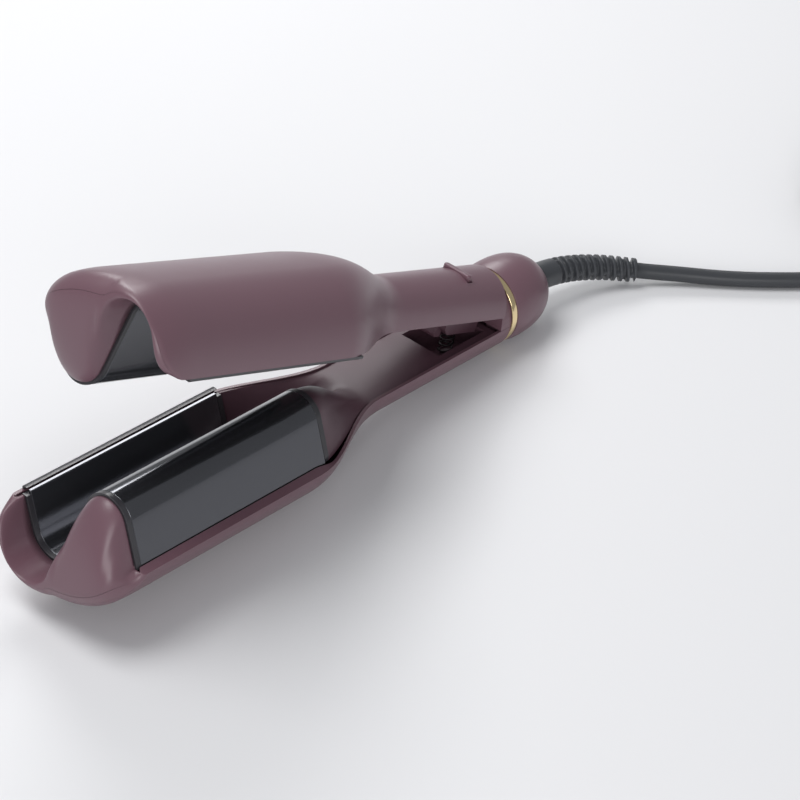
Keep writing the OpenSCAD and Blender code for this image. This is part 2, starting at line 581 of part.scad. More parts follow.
inner_route = concat(
  [for (b = inner_bend) [mix(inner_end_x, housing_x1, b[0]), 0, mix(cap_raise, tunnel_z, b[1])]],
  [[hinge_x, 0, tunnel_z], [ring_x - 1.9, 0, tunnel_z]]);
module inner_cord() { color(rubber) tube(smooth(inner_route, 4), even(smooth(inner_route, 4), 3.5), 12); }

// ---- Upper arm; the hinge arm and what it carries are drawn with z up, closed ----
module upper_shell() { color(mauve) arm_shell(hinge_x - 21, false, button_x); }
module upper_nose_cap() { color(mauve) arm_nose_cap(); }
block_x0 = hinge_x - 54;
block_x1 = hinge_x - 26.2;
module upper_inner_cover() {
  color(inner_mauve) arm_inner_cover(block_w / 2 + 0.2, [block_x0 - 0.2, block_x1 + 0.2]);
}
module upper_plate() { color(plate_grey) arm_plate(); }
module upper_plate_carrier() { color(trim_grey) arm_carrier(); }
module upper_heat_saddle() { color("silver") arm_saddle(); }
module upper_heater() { color("wheat") arm_heater(); }
module upper_thermistor() { color("orange") arm_thermistor(); }
module upper_heater_clamp() { color("gray") arm_clamp(); }
module upper_clamp_screws() { color("silver") arm_clamp_screws(); }
module upper_heater_leads() { color("white") arm_heater_leads(board_x0); }

arm_z0 = cover_recess + cover_t + fit_gap;
arm_t = 2.3;
arm_z1 = arm_z0 + arm_t;
arm_x0 = hinge_x - 62;
arm_x1 = hinge_x - 22.6;
knuckle_r = 5.2;
bush_d = pin_d + 2;
tongue_z = 9;
board_x0 = hinge_x - 60;
board_x1 = hinge_x - 31;
board_z = arm_z1 + 1.6;
board_t = 1.6;
post_xs = [board_x0 + 2.5, board_x1 - 2.5];
peg_xs = [block_x0 + 1.8, block_x1 - 2];
peg_d = 3;
module hinge_arm() {
  color(nylon) difference() {
    union() {
      box(arm_x0, arm_x1, -13, 13, arm_z0, arm_z1);
      translate([hinge_x, 0, 0]) across(knuckle_w)
        polygon([[-30, arm_z0], [-22, arm_z0], [-8, 0], [0, -knuckle_r + 0.6], [0, knuckle_r - 0.2],
                 [-4, knuckle_r + 0.5], [-12, tongue_z], [-29, tongue_z]]);
      translate([hinge_x, 0, 0]) rotate([90, 0, 0]) cylinder(r = knuckle_r, h = knuckle_w, center = true);
      for (x = post_xs, y = [-7.5, 7.5]) translate([x, y, arm_z1 - 0.5]) cylinder(d = 4, h = board_z - arm_z1 + 0.5);
    }
    pin_hole(bush_d, knuckle_w + 2);
    for (x = peg_xs) translate([x, 0, arm_z0 - 1]) cylinder(d = peg_d + 0.1, h = arm_t + 2);
    for (x = post_xs) translate([x, 7.5, arm_z0 + 0.5]) cylinder(d = screw_d, h = 8);
  }
}
module hinge_bush() {
  color("goldenrod") difference() {
    pin_hole(bush_d, knuckle_w);
    pin_hole(pin_d + 2 * pin_clear, knuckle_w + 2);
  }
}
module spring_block() {
  color(nylon) difference() {
    union() {
      across(block_w) polygon([[block_x0 + 3, -cover_recess], [block_x0 + 3, -8], [block_x0 + 6, -10.5],
                               [block_x1, -10.5], [block_x1, -cover_recess]]);
      across(block_w) polygon([[block_x0, arm_z0], [block_x0, -cover_recess], [block_x1, -cover_recess],
                               [block_x1, arm_z0]]);
      across(10) polygon([[block_x0, 0], [block_x0, -11], [block_x0 + 1.2, -12.6], [block_x0 + 5, -12.6],
                          [block_x0 + 5, 0]]);
      for (x = peg_xs) translate([x, 0, 0]) cylinder(d = peg_d, h = arm_z1);
    }
    box(hinge_x - spring_back - 5, hinge_x - spring_back + 7, -5, 5, -20, chamber_z);
  }
}
module control_board() {
  color("darkgreen") difference() {
    union() {
      box(board_x0, board_x1, -9.5, 9.5, board_z, board_z + board_t);
      box(board_x0 + 5, board_x0 + 11, -6, 5, board_z, board_z + 5);
      box(board_x1 - 9, board_x1 - 5, -5, 3, board_z, board_z + 4);
    }
    for (x = post_xs) translate([x, 7.5, board_z - 1]) cylinder(d = screw_d + 0.1, h = 4);
  }
}
module board_screws() {
  color("silver") for (x = post_xs) translate([x, 7.5, board_z + board_t]) rotate([180, 0, 0]) screw(3.6, 1.2, 4.6);
}
button_x = hinge_x - button_back;
switch_z = board_z + board_t;
module button_switch() {
  color("black") {
    translate([button_x - 3, -3, switch_z]) cube([6, 6, 3.4]);
    translate([button_x, 0, switch_z + 3]) cylinder(d = 3.2, h = 1);
  }
}
stem_z = switch_z + 4 + button_travel + 0.1;
module arc_bar(half_l, r0, r1, half_a) {
  along_x(button_x - half_l, button_x + half_l) intersection() {
    difference() {
      circle(r1);
      circle(r0);
    }
    polygon(concat([[0, 0]], [for (a = [-half_a, 0, half_a]) 2 * handle_r * unit(90 + a)]));
  }
}
module power_button() {
  a = asin(button_w / 2 / handle_r);
  inner_r = handle_r - shell_t - fit_gap;
  color(mauve) {
    arc_bar(button_l / 2, inner_r - 1, handle_r + button_rise, a);
    arc_bar(button_l / 2 + 1, inner_r - 1.5, inner_r, a + 4);
    translate([button_x, 0, stem_z]) cylinder(d = 3, h = inner_r - 1 - stem_z);
  }
}

// ---- Placing: origin on the floor in the middle of the waver ----
nose_front = nose_grid(0)[nose_rows];
front_x = min([for (p = nose_front) world_x(p[0], p[2])]);
rear_x = world_x(cap_x1, cap_raise + cap_r(cap_x1));
origin_x = (front_x + rear_x) / 2;
function to_row(p) = [world_x(p[0], p[2]) - origin_x, p[1], p[2] * cos(rest_tilt) - p[0] * sin(rest_tilt) + rest_lift];
module place_lower() { translate([-origin_x, 0, rest_lift]) rotate([0, rest_tilt, 0]) children(); }
module place_closed() {
  place_lower() translate([hinge_x, 0, 0]) rotate([0, open_angle, 0]) translate([-hinge_x, 0, 0]) children();
}
module place_upper() { place_closed() rotate([180, 0, 0]) children(); }

// ---- Strain relief and cord ----
// The relief leaves the cap straight and bends to the near side
relief_bend = [[0.3, 0, 0], [6.5, -0.25, -0.2], [12.9, -0.95, -0.6], [19.3, -2.25, -1.15], [25.5, -4.1, -1.8],
               [31.5, -6.45, -2.5], [37.2, -9.4, -3.25], [42.7, -12.8, -4], [47.9, -16.7, -4.75],
               [52.8, -20.8, -5.35]];
relief_parts = 8;
relief_start = [for (x = [flange_x, cap_x1 - 2.1, cap_x1 - 2, cap_x1 + 0.1]) [x, 0, cap_raise]];
relief_tail = smooth([for (b = relief_bend) [cap_x1, 0, cap_raise] + b], relief_parts);
relief_path = [for (p = concat(relief_start, relief_tail)) to_row(p)];
tail_n = len(relief_tail);
relief_tip_r = cord_d / 2 + 2;
function rib_r(i) = let (full = mix(relief_d / 2, relief_tip_r, i / tail_n))
  i > 2.5 * relief_parts && i < tail_n - 3 && i % 4 >= 2 ? max(full - 1.3, cord_d / 2 + 0.1) : full;
relief_radii = concat([neck_r + 1.7, neck_r + 1.7, neck_r, neck_r], [for (i = [0 : tail_n - 1]) rib_r(i)]);
module strain_relief() { color(rubber) tube(relief_path, relief_radii, 16); }

// The cord comes down to the floor and runs to its coil
cord_r = cord_d / 2;
coil_centre = [353, -83];
coil_layers = [3, 2];
coil_w = coil_layers[0] * cord_d;
coil_h = coil_layers[1] * cord_d;
coil_z = 1;
cord_points = [[215, -28.8, 5.6], [223.2, -37.5, 4.8], [231, -46.6, 4.2], [238.9, -55.6, 3.9], [247.1, -64.4, 3.8],
               [255.6, -72.8, 3.8], [264.3, -81, 3.8], [273, -88.6, 3.8], [281.7, -95.4, 3.8], [290.3, -101.9, 3.8],
               [298.9, -108.4, 3.8]];
relief_end = relief_path[len(relief_path) - 1];
relief_dir = normal(relief_end - relief_path[len(relief_path) - 2]);
cord_route = concat([for (d = [0.3, 1.6]) relief_end + d * relief_dir],
                    smooth(concat([relief_end + 4 * relief_dir], cord_points), 4));
module cord() { color(rubber) tube(cord_route, even(cord_route, cord_r)); }
module cord_coil() {
  color(rubber) translate([coil_centre[0], coil_centre[1], coil_z]) rotate_extrude($fn = 96)
    translate([coil_d / 2 - coil_w / 2, 0]) difference() {
      square([coil_w, coil_h]);
      for (x = [0, coil_w], y = [0, coil_h]) translate([x, y]) rotate(45) square(2.4, center = true);
    }
}
tie_t = 0.9;
tie_w = 12;
module cord_tie() {
  y0 = -coil_d / 2 - coil_w / 2;
  color("dimgray") translate([coil_centre[0], coil_centre[1], 0]) rotate([0, 0, 200]) difference() {
    box(-tie_w / 2, tie_w / 2, y0 - tie_t - 0.4, y0 + coil_w + tie_t + 0.6, 0, coil_z + coil_h + tie_t);
    box(-tie_w, tie_w, y0 - 0.4, y0 + coil_w + 0.6, tie_t, coil_z + coil_h + 0.05);
  }
}
plug_h = 13.7;
plug_len = 34;
plug_side = (coil_d + coil_w - cord_d) / 2;
module place_plug() {
  reach = sqrt(pow((coil_d + coil_w) / 2, 2) - pow(plug_side - 6, 2)) + 0.1;
  translate([coil_centre[0] + plug_side, coil_centre[1] + reach, 0]) rotate([0, 0, 90]) children();
}
module plug_body() {
  color(rubber) place_plug() linear_extrude(plug_h)
    polygon([[0, -6], [3, -7.5], [12, -9], [plug_len - 10, -17], [plug_len, -17.6], [plug_len, 17.6],
             [plug_len - 10, 17], [12, 9], [3, 7.5], [0, 6]]);
}
module plug_pins() {
  color("silver") place_plug() for (side = [-1, 1])
    translate([plug_len, side * plug_pitch / 2, plug_h / 2]) rotate([0, 90, 0]) {
      cylinder(d = plug_pin_d, h = 18);
      translate([0, 0, 18]) cylinder(d1 = plug_pin_d, d2 = 2, h = 1);
    }
}

place_lower() lower_shell();
place_lower() lower_nose_cap();
place_lower() lower_inner_cover();
place_lower() lower_plate();
place_lower() lower_plate_carrier();
place_lower() lower_heat_saddle();
place_lower() lower_heater();
place_lower() lower_thermistor();
place_lower() lower_heater_clamp();
place_lower() lower_clamp_screws();
place_lower() lower_heater_leads();
place_lower() spring_well();
place_lower() opening_spring();
place_lower() hinge_housing();
place_lower() hinge_pin();
place_lower() trim_ring();
place_lower() rear_cap();
place_lower() terminal_block();
place_lower() mains_leads();
place_lower() inner_cord();
place_upper() upper_shell();
place_upper() upper_nose_cap();
place_upper() upper_inner_cover();
place_upper() upper_plate();
place_upper() upper_plate_carrier();
place_upper() upper_heat_saddle();
place_upper() upper_heater();
place_upper() upper_thermistor();
place_upper() upper_heater_clamp();
place_upper() upper_clamp_screws();
place_upper() upper_heater_leads();
place_closed() hinge_arm();
place_closed() hinge_bush();
place_closed() spring_block();
place_closed() control_board();
place_closed() button_switch();
place_closed() board_screws();
place_closed() power_button();
strain_relief();
cord();
cord_coil();
cord_tie();
plug_body();
plug_pins();
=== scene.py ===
# %% [markdown]
# # A hair waver, piece by piece
# A hair waver has two jaws with a deep wave between them, a sprung hinge, a round handle and a cord.
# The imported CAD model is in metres, with +X from the nose to the cord and +Z up. We load it first, keep its
# hidden mechanics, and model everything that the eye sees again, more finely.

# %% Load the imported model
import math
import bpy
import bmesh
import numpy as np
from mathutils import Matrix, Vector


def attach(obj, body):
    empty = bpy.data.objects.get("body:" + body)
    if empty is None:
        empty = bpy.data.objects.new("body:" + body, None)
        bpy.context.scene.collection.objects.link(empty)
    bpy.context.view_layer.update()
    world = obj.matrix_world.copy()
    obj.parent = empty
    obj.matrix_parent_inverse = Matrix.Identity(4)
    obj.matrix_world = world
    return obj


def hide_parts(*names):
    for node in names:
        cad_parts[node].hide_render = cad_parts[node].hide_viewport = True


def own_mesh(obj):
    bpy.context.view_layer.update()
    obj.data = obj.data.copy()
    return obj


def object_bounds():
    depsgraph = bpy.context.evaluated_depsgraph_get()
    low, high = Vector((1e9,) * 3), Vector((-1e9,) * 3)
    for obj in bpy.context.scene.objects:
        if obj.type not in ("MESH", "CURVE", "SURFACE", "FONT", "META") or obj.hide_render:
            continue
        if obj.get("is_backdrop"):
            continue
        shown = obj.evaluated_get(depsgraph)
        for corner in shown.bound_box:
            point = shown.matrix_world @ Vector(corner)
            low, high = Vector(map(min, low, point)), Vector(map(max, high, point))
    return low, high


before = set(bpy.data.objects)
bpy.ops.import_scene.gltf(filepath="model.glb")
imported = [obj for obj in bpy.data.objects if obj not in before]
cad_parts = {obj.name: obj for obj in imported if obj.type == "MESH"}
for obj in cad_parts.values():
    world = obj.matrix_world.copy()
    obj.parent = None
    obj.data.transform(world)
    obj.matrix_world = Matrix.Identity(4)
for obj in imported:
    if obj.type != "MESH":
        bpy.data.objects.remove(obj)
cad_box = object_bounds()
MM = 0.001

# %% [markdown]
# ## The sizes of the tool
# A maker's drawing gives each size once, and all else follows from it. The script can't read the CAD source,
# so its sizes are repeated here in millimetres and degrees. Each arm is drawn lying flat, with the front edge
# of its plate at x = 0 and the meeting plane of the jaws at z = 0.

# %% Sizes, in millimetres and degrees
plate_len, plate_w, plate_t, plate_gap, plate_step = 110.0, 66.0, 1.5, 0.5, 1.4
wave_pitch, wave_height, wave_r = 28.4, 48.0, 12.0
trim_w, carrier_t, fit_gap = 2.6, 1.0, 0.1
head_w, head_depth, head_bias = 74.0, 31.0, 8.0
nose_len, nose_r = 21.0, 9.0
shell_t, lip_drop = 1.6, 2.5
handle_d, taper_len, grip_len = 34.6, 59.0, 90.0
cover_recess, cover_t = 1.2, 1.4
hinge_back, open_angle = 13.8, 18.2
well_w, block_w = 22.0, 16.0
ring_w, ring_d, cap_d, cap_len, cap_raise, cap_power = 3.5, 36.8, 38.4, 32.5, 1.8, 2.4
button_w, button_l, button_rise, button_back = 15.4, 3.4, 1.0, 44.4
cord_d, coil_d = 7.5, 90.0
taper_lap, belly_back = 7.0, 2.8
plug_pin_d, plug_pitch, plug_h, plug_len = 4.0, 19.0, 13.7, 34.0

head_half, handle_r = head_w / 2, handle_d / 2
taper_x0 = plate_len - taper_lap
taper_x1 = taper_x0 + taper_len
ring_x = taper_x1 + grip_len
hinge_x = ring_x + hinge_back
cap_x0 = ring_x + ring_w
cap_x1 = cap_x0 + cap_len
cap_belly = hinge_x - belly_back
inner_inset = shell_t + fit_gap
button_x = hinge_x - button_back
print("handle ends at", round(cap_x1, 1), "mm")

# %% [markdown]
# ## Where each arm lies
# The lower arm tips back until its head and its rear cap touch the table. The upper arm is the same shape
# turned half round and opened about the hinge. One matrix for each arm takes a drawing in millimetres to its
# place in metres, so a piece is modelled flat and straight, which is easier, and is set in place at the end.

# %% One matrix for each arm
floor_cut = 0.35
rest_tilt = math.atan((head_depth - cap_d / 2 + cap_raise) / (cap_belly - taper_x0))
tilt_cos, tilt_sin = math.cos(rest_tilt), math.sin(rest_tilt)
rest_lift = taper_x0 * tilt_sin + head_depth * tilt_cos - floor_cut
origin_x = 132.527
LOWER = (Matrix.Scale(MM, 4) @ Matrix.Translation((-origin_x, 0, rest_lift))
         @ Matrix.Rotation(rest_tilt, 4, "Y"))
HINGE = Matrix.Translation((hinge_x, 0, 0))
UPPER = (LOWER @ HINGE @ Matrix.Rotation(math.radians(open_angle), 4, "Y") @ HINGE.inverted()
         @ Matrix.Rotation(math.pi, 4, "X"))
ARMS = {"lower": LOWER, "upper": UPPER}
TABLE = Matrix.Scale(MM, 4)
print("tilt at rest", round(math.degrees(rest_tilt), 2), "degrees, lift", round(rest_lift, 2), "mm")


def sin_d(a):
    return math.sin(math.radians(a))


def cos_d(a):
    return math.cos(math.radians(a))


def mix(a, b, t):
    return a + (b - a) * t


def ease(t):
    u = min(1.0, max(0.0, t))
    return u * u * (3 - 2 * u)


def floor_z(x):
    """Height of the table under the lower arm, in the arm's own drawing."""
    return (x * tilt_sin - rest_lift) / tilt_cos


# %% [markdown]
# ## The camera
# A long tool is shown from far away with a long lens, so that both ends keep their size. The camera's own
# axes are built from its place and its aim, and then rolled a little about the line of sight.

# %% Camera
camera_data = bpy.data.cameras.new("camera")
camera_data.sensor_width = 36
camera_data.sensor_fit = "HORIZONTAL"
camera_data.lens = 143.44
camera_data.clip_start = 0.05
camera_data.clip_end = 20
camera = bpy.data.objects.new("camera", camera_data)
bpy.context.scene.collection.objects.link(camera)
camera_place = Vector((-0.81694, -0.70855, 0.88348))
camera_aim = Vector((0.06410, 0.0, -0.00468))
camera_roll = math.radians(4.3696)
back = (camera_place - camera_aim).normalized()
level = Vector((0, 0, 1)).cross(back).normalized()
upright = back.cross(level)
right = math.cos(camera_roll) * level + math.sin(camera_roll) * upright
up = math.cos(camera_roll) * upright - math.sin(camera_roll) * level
camera.matrix_world = Matrix((
    (right.x, up.x, back.x, camera_place.x),
    (right.y, up.y, back.y, camera_place.y),
    (right.z, up.z, back.z, camera_place.z),
    (0, 0, 0, 1)))
bpy.context.scene.camera = camera
print("camera stands", round((camera_place - camera_aim).length, 2), "m away")

# %% [markdown]
# ## A shared grain
# No moulded surface is one flat colour: its tone drifts slowly and a fine grain breaks up its gloss. Both
# come from noise on Object coordinates, so they stay on the piece when it moves. All finishes need this, so
# it is one node group with its own inputs. The shader stays outside the group, in each material.

# %% Node group: surface grain


def grain_group():
    """Object coordinates in, a slow blotch and a fine grain out, both from 0 to 1."""
    group = bpy.data.node_groups.new("surface_grain", "ShaderNodeTree")
    for name, value in (("Blotch scale", 60.0), ("Grain scale", 2500.0), ("Stretch", 1.0)):
        socket = group.interface.new_socket(name, in_out="INPUT", socket_type="NodeSocketFloat")
        socket.default_value = value
    group.interface.new_socket("Blotch", in_out="OUTPUT", socket_type="NodeSocketFloat")
    group.interface.new_socket("Grain", in_out="OUTPUT", socket_type="NodeSocketFloat")
    nodes, links = group.nodes, group.links
    enter, leave = nodes.new("NodeGroupInput"), nodes.new("NodeGroupOutput")
    place = nodes.new("ShaderNodeTexCoord")
    squeeze = nodes.new("ShaderNodeVectorMath")
    squeeze.operation = "MULTIPLY"
    factors = nodes.new("ShaderNodeCombineXYZ")
    factors.inputs["Y"].default_value = 1
    factors.inputs["Z"].default_value = 1
    links.new(enter.outputs["Stretch"], factors.inputs["X"])
    links.new(place.outputs["Object"], squeeze.inputs[0])
    links.new(factors.outputs[0], squeeze.inputs[1])
    for k, (scale, detail) in enumerate((("Blotch scale", 3), ("Grain scale", 2))):
        noise = nodes.new("ShaderNodeTexNoise")
        noise.inputs["Detail"].default_value = detail
        links.new(squeeze.outputs[0], noise.inputs["Vector"])
        links.new(enter.outputs[scale], noise.inputs["Scale"])
        links.new(noise.outputs["Fac"], leave.inputs[k])
    return group


grain = grain_group()
print("grain group has", len(grain.nodes), "nodes")

# %% [markdown]
# ## One recipe for every finish
# Soft-touch paint, coated metal and rubber differ in colour, gloss, metal and grain, but they are built
# alike: the blotch drives colour and roughness a little, and the grain drives a fine bump. Numbers that are
# the same all over a piece sit on the shader's own sockets.

# %% Finishes


def linear(rgb):
    """An 8-bit display colour as the linear one that the shader takes."""
    return tuple(c / 255 / 12.92 if c / 255 <= 0.04045 else ((c / 255 + 0.055) / 1.055) ** 2.4 for c in rgb)


def finish(name, rgb, rough, metal=0.0, vary=0.06, rough_vary=0.05, bump=0.02, blotch=60.0, fine=2500.0,
           stretch=1.0, coat=0.0, coat_rough=0.1, sheen=0.0):
    paint = bpy.data.materials.new(name)
    paint.use_nodes = True
    nodes, links = paint.node_tree.nodes, paint.node_tree.links
    shader = nodes["Principled BSDF"]
    colour = linear(rgb)
    shader.inputs["Metallic"].default_value = metal
    shader.inputs["Coat Weight"].default_value = coat
    shader.inputs["Coat Roughness"].default_value = coat_rough
    shader.inputs["Sheen Weight"].default_value = sheen
    texture = nodes.new("ShaderNodeGroup")
    texture.node_tree = grain
    texture.inputs["Blotch scale"].default_value = blotch
    texture.inputs["Grain scale"].default_value = fine
    texture.inputs["Stretch"].default_value = stretch
    tone = nodes.new("ShaderNodeMix")
    tone.data_type = "RGBA"
    tone.inputs["A"].default_value = (*[c * (1 - vary) for c in colour], 1)
    tone.inputs["B"].default_value = (*[min(1, c * (1 + vary)) for c in colour], 1)
    links.new(texture.outputs["Blotch"], tone.inputs["Factor"])
    links.new(tone.outputs["Result"], shader.inputs["Base Color"])
    spread = nodes.new("ShaderNodeMapRange")
    spread.inputs["To Min"].default_value = max(0.02, rough - rough_vary)
    spread.inputs["To Max"].default_value = rough + rough_vary
    links.new(texture.outputs["Blotch"], spread.inputs["Value"])
    links.new(spread.outputs["Result"], shader.inputs["Roughness"])
    dents = nodes.new("ShaderNodeBump")
    dents.inputs["Strength"].default_value = bump
    dents.inputs["Distance"].default_value = 0.0005
    links.new(texture.outputs["Grain"], dents.inputs["Height"])
    links.new(dents.outputs["Normal"], shader.inputs["Normal"])
    paint.diffuse_color = (*colour, 1)
    return paint


casing_mauve = finish("casing_mauve", (108, 79, 89), 0.38, vary=0.04, bump=0.1, blotch=25, coat=0.15,
                      coat_rough=0.3)
# The pieces between the arms take a darker copy of the casing's mauve: the darkening is painted shade, for
# the shade that falls between the arms.
inner_mauve_painted_shade = finish("inner_mauve_painted_shade", (84, 58, 68), 0.45, vary=0.04, bump=0.1, blotch=25)
plate_coat = finish("plate_coating", (84, 85, 90), 0.17, metal=0.8, vary=0.06, rough_vary=0.02, bump=0.03,
                    blotch=40, fine=1400, stretch=0.05, coat=0.4, coat_rough=0.06)
carrier_grey = finish("carrier_grey", (52, 51, 55), 0.32, vary=0.05, bump=0.08)
nylon_black = finish("nylon_black", (30, 28, 30), 0.5, vary=0.08, bump=0.2)
ring_gold = finish("ring_gold", (236, 214, 168), 0.11, metal=1.0, vary=0.02, rough_vary=0.02, bump=0.01)
steel = finish("steel", (170, 170, 172), 0.3, metal=1.0, bump=0.06, stretch=0.1)
# The spring's dark mauve-grey is painted shade: it stands for the shade of the pocket that the spring sits
# in.
spring_painted_shade = finish("spring_painted_shade", (50, 44, 47), 0.5, metal=0.6, bump=0.06, stretch=0.1)
saddle_alloy = finish("saddle_alloy", (186, 187, 190), 0.38, metal=1.0, bump=0.1)
heater_ceramic = finish("heater_ceramic", (226, 220, 205), 0.55, bump=0.15)
sensor_resin = finish("sensor_resin", (190, 150, 60), 0.25, bump=0.05)
board_green = finish("board_green", (24, 84, 48), 0.35, vary=0.15, blotch=300)
lead_red = finish("lead_red", (176, 40, 34), 0.4, bump=0.08)
ivory = finish("ivory_plastic", (222, 220, 210), 0.4, bump=0.05)
cord_rubber = finish("cord_rubber", (54, 56, 60), 0.4, vary=0.08, rough_vary=0.05, bump=0.15, blotch=120,
                     fine=1800)
relief_rubber = finish("relief_rubber", (60, 62, 66), 0.36, vary=0.06, bump=0.1, blotch=160)
strap_fabric = finish("strap_fabric", (30, 30, 32), 0.85, vary=0.3, bump=0.6, blotch=1200, fine=1500,
                      sheen=0.5)
pin_brass = finish("pin_brass", (216, 196, 140), 0.22, metal=1.0, bump=0.05, stretch=0.1)
print("finishes made:", len(bpy.data.materials))

# %% [markdown]
# ## Finishing a piece
# Every piece ends the same way: double points are merged, faces are turned outwards, the drawing is set in
# place, and a small radius runs along its sharp edges, because no moulded or pressed edge is a knife. The
# radius is a Bevel modifier, so the mesh below stays simple. Then the piece rides on its body and hides the
# plain CAD solid that it stands for.

# %% From a bmesh to a finished piece


def make_piece(bm, name, body, replaced, paint, place, radius=0.0, angle=35, segments=3):
    bmesh.ops.remove_doubles(bm, verts=bm.verts, dist=0.0005)
    bmesh.ops.dissolve_degenerate(bm, edges=bm.edges, dist=0.0005)
    bmesh.ops.recalc_face_normals(bm, faces=bm.faces)
    bmesh.ops.transform(bm, matrix=place, verts=bm.verts)
    for face in bm.faces:
        face.smooth = True
    mesh = bpy.data.meshes.new(name)
    bm.to_mesh(mesh)
    bm.free()
    piece = bpy.data.objects.new(name, mesh)
    bpy.context.scene.collection.objects.link(piece)
    mesh.materials.append(paint)
    if radius:
        rounding = piece.modifiers.new("edge_radius", "BEVEL")
        rounding.width = radius * MM
        rounding.segments = segments
        rounding.limit_method = "ANGLE"
        rounding.angle_limit = math.radians(angle)
        rounding.harden_normals = True
    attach(piece, body)
    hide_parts(*replaced)
    print(name, "faces", len(mesh.polygons))
    return piece


# %% [markdown]
# ## The cord's path
# The cord leaves the rear cap inside a strain relief, bends down to the table and runs to a bunch of turns.
# A real cord can't bend tighter than about four of its own diameters, so the points are placed on wide
# curves, and a smooth line is drawn through them. The relief and the cord share one path.

# %% Path of the relief
neck_r = 4.8
relief_bend = [(0.3, 0, 0), (6.5, -0.25, -0.2), (12.9, -0.95, -0.6), (19.3, -2.25, -1.15), (25.5, -4.1, -1.8),
               (31.5, -6.45, -2.5), (37.2, -9.4, -3.25), (42.7, -12.8, -4), (47.9, -16.7, -4.75),
               (52.8, -20.8, -5.35)]


def smooth_line(points, parts):
    """A smooth line through given points, parts steps between two of them."""
    out, n = [], len(points) - 1
    for i in range(n):
        a, b, c, d = points[max(i - 1, 0)], points[i], points[i + 1], points[min(i + 2, n)]
        for k in range(parts):
            t = k / parts
            out.append(0.5 * (2 * b + (c - a) * t + (2 * a - 5 * b + 4 * c - d) * t * t
                              + (3 * b - a - 3 * c + d) * t ** 3))
    return out + [points[-1]]


def behind_cap(x, y, z):
    """A point given from the end of the rear cap, where it lies on the table, in millimetres."""
    return LOWER @ Vector((cap_x1 + x, y, cap_raise + z)) / MM


relief_line = [behind_cap(-2, 0, 0), behind_cap(-0.5, 0, 0)]
relief_line += smooth_line([behind_cap(*p) for p in relief_bend], 12)
relief_end = relief_line[-1]
relief_dir = (relief_line[-1] - relief_line[-2]).normalized()
print("relief ends at", [round(c, 1) for c in relief_end])

# %% [markdown]
# The bunch is what a hand makes: turns laid one inside the other on the table, then a second layer on top.
# Each row of the table below is an angle, and the radius and height that hold from there on.

# %% Path of the cord and its coil
coil_centre = Vector((353, -83, 0))
coil_low, coil_high = 4.75, 12.25
turn_r = [coil_d / 2 + k * cord_d for k in (1, 0, -1)]
route = [Vector(p) for p in (
    (215, -28.8, 5.6), (223.2, -37.5, 4.8), (231, -46.6, 4.2), (238.9, -55.6, 3.9), (247.1, -64.4, 3.8),
    (255.6, -72.8, 3.8), (264.3, -81, 3.8), (273, -88.6, 3.8), (281.7, -95.4, 3.8), (290.3, -101.9, 3.8),
    (298.9, -108.4, 3.8), (307, -114.4, 3.9), (314.5, -120.1, 4.3))]
coil_steps = [(233, turn_r[0], coil_low), (580, turn_r[1], coil_low), (940, turn_r[2], coil_low),
              (1253, turn_r[2], coil_high), (1553, turn_r[1], coil_high), (1860, turn_r[0], coil_high)]
coil_start, coil_end, coil_step, change_over = 236, 2160, 8, 47
coil_count = int((coil_end - coil_start) / coil_step)
coil_points = []
for k in range(coil_count + 1):
    a = coil_start + k * (coil_end - coil_start) / coil_count
    r, z = coil_steps[0][1:]
    for start, r1, z1 in coil_steps[1:]:
        t = ease((a - start + change_over) / change_over)
        r, z = mix(r, r1, t), mix(z, z1, t)
    coil_points.append(coil_centre + Vector((r * cos_d(a), r * sin_d(a), z)))

plug_side = (coil_d + cord_d * 2) / 2
plug_reach = math.sqrt(((coil_d + 3 * cord_d) / 2) ** 2 - (plug_side - 6) ** 2) + 0.1
plug_at = coil_centre + Vector((plug_side, plug_reach, 0))
plug_lead = [coil_centre + Vector((plug_side, y, z)) for y, z in ((6, 12.1), (12, 11.8), (18, 11), (24, 9.2))]
plug_lead.append(plug_at + Vector((0, 1, plug_h / 2)))

cord_line = relief_line[1::4] + [relief_end + 3 * relief_dir]
cord_line += smooth_line([relief_end + 4 * relief_dir] + route, 2) + coil_points + smooth_line(plug_lead, 2)


def thinned(points):
    """The same line without points that lie closer than a millimetre to the last one."""
    kept = [points[0]]
    for p in points[1:]:
        if (p - kept[-1]).length > 1:
            kept.append(p)
    return kept


cord_line = [p * MM for p in thinned(cord_line)]

# %% [markdown]
# ## The cord itself
# A cord is the one piece that a curve makes best: a path with a round section. The curve keeps its own line.

# %% Cord as a curve
cord_data = bpy.data.curves.new("mains_cord", "CURVE")
cord_data.dimensions = "3D"
cord_data.bevel_depth = cord_d / 2 * MM
cord_data.bevel_resolution = 8
cord_data.use_fill_caps = True
spline = cord_data.splines.new("POLY")
spline.points.add(len(cord_line) - 1)
for point, p in zip(spline.points, cord_line):
    point.co = (*p, 1)
spline.use_smooth = True
cord = bpy.data.objects.new("mains_cord", cord_data)
bpy.context.scene.collection.objects.link(cord)
cord_data.materials.append(cord_rubber)
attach(cord, "lower_arm")
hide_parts("cord", "cord_coil")
print("cord curve has", len(spline.points), "points")

# %% [markdown]
# ## The strain relief
# Where the cord enters the handle, a ribbed rubber sleeve lets it bend gently. A mould gives it rings that
# are joined by small bridges, with open slots between. A plain tube comes first: one circle, extruded step by
# step along the path.

# %% Extrude a circle along a line


def only(geom, kind):
    """The verts or the edges among what an operator gives back."""
    return [g for g in geom if isinstance(g, kind)]


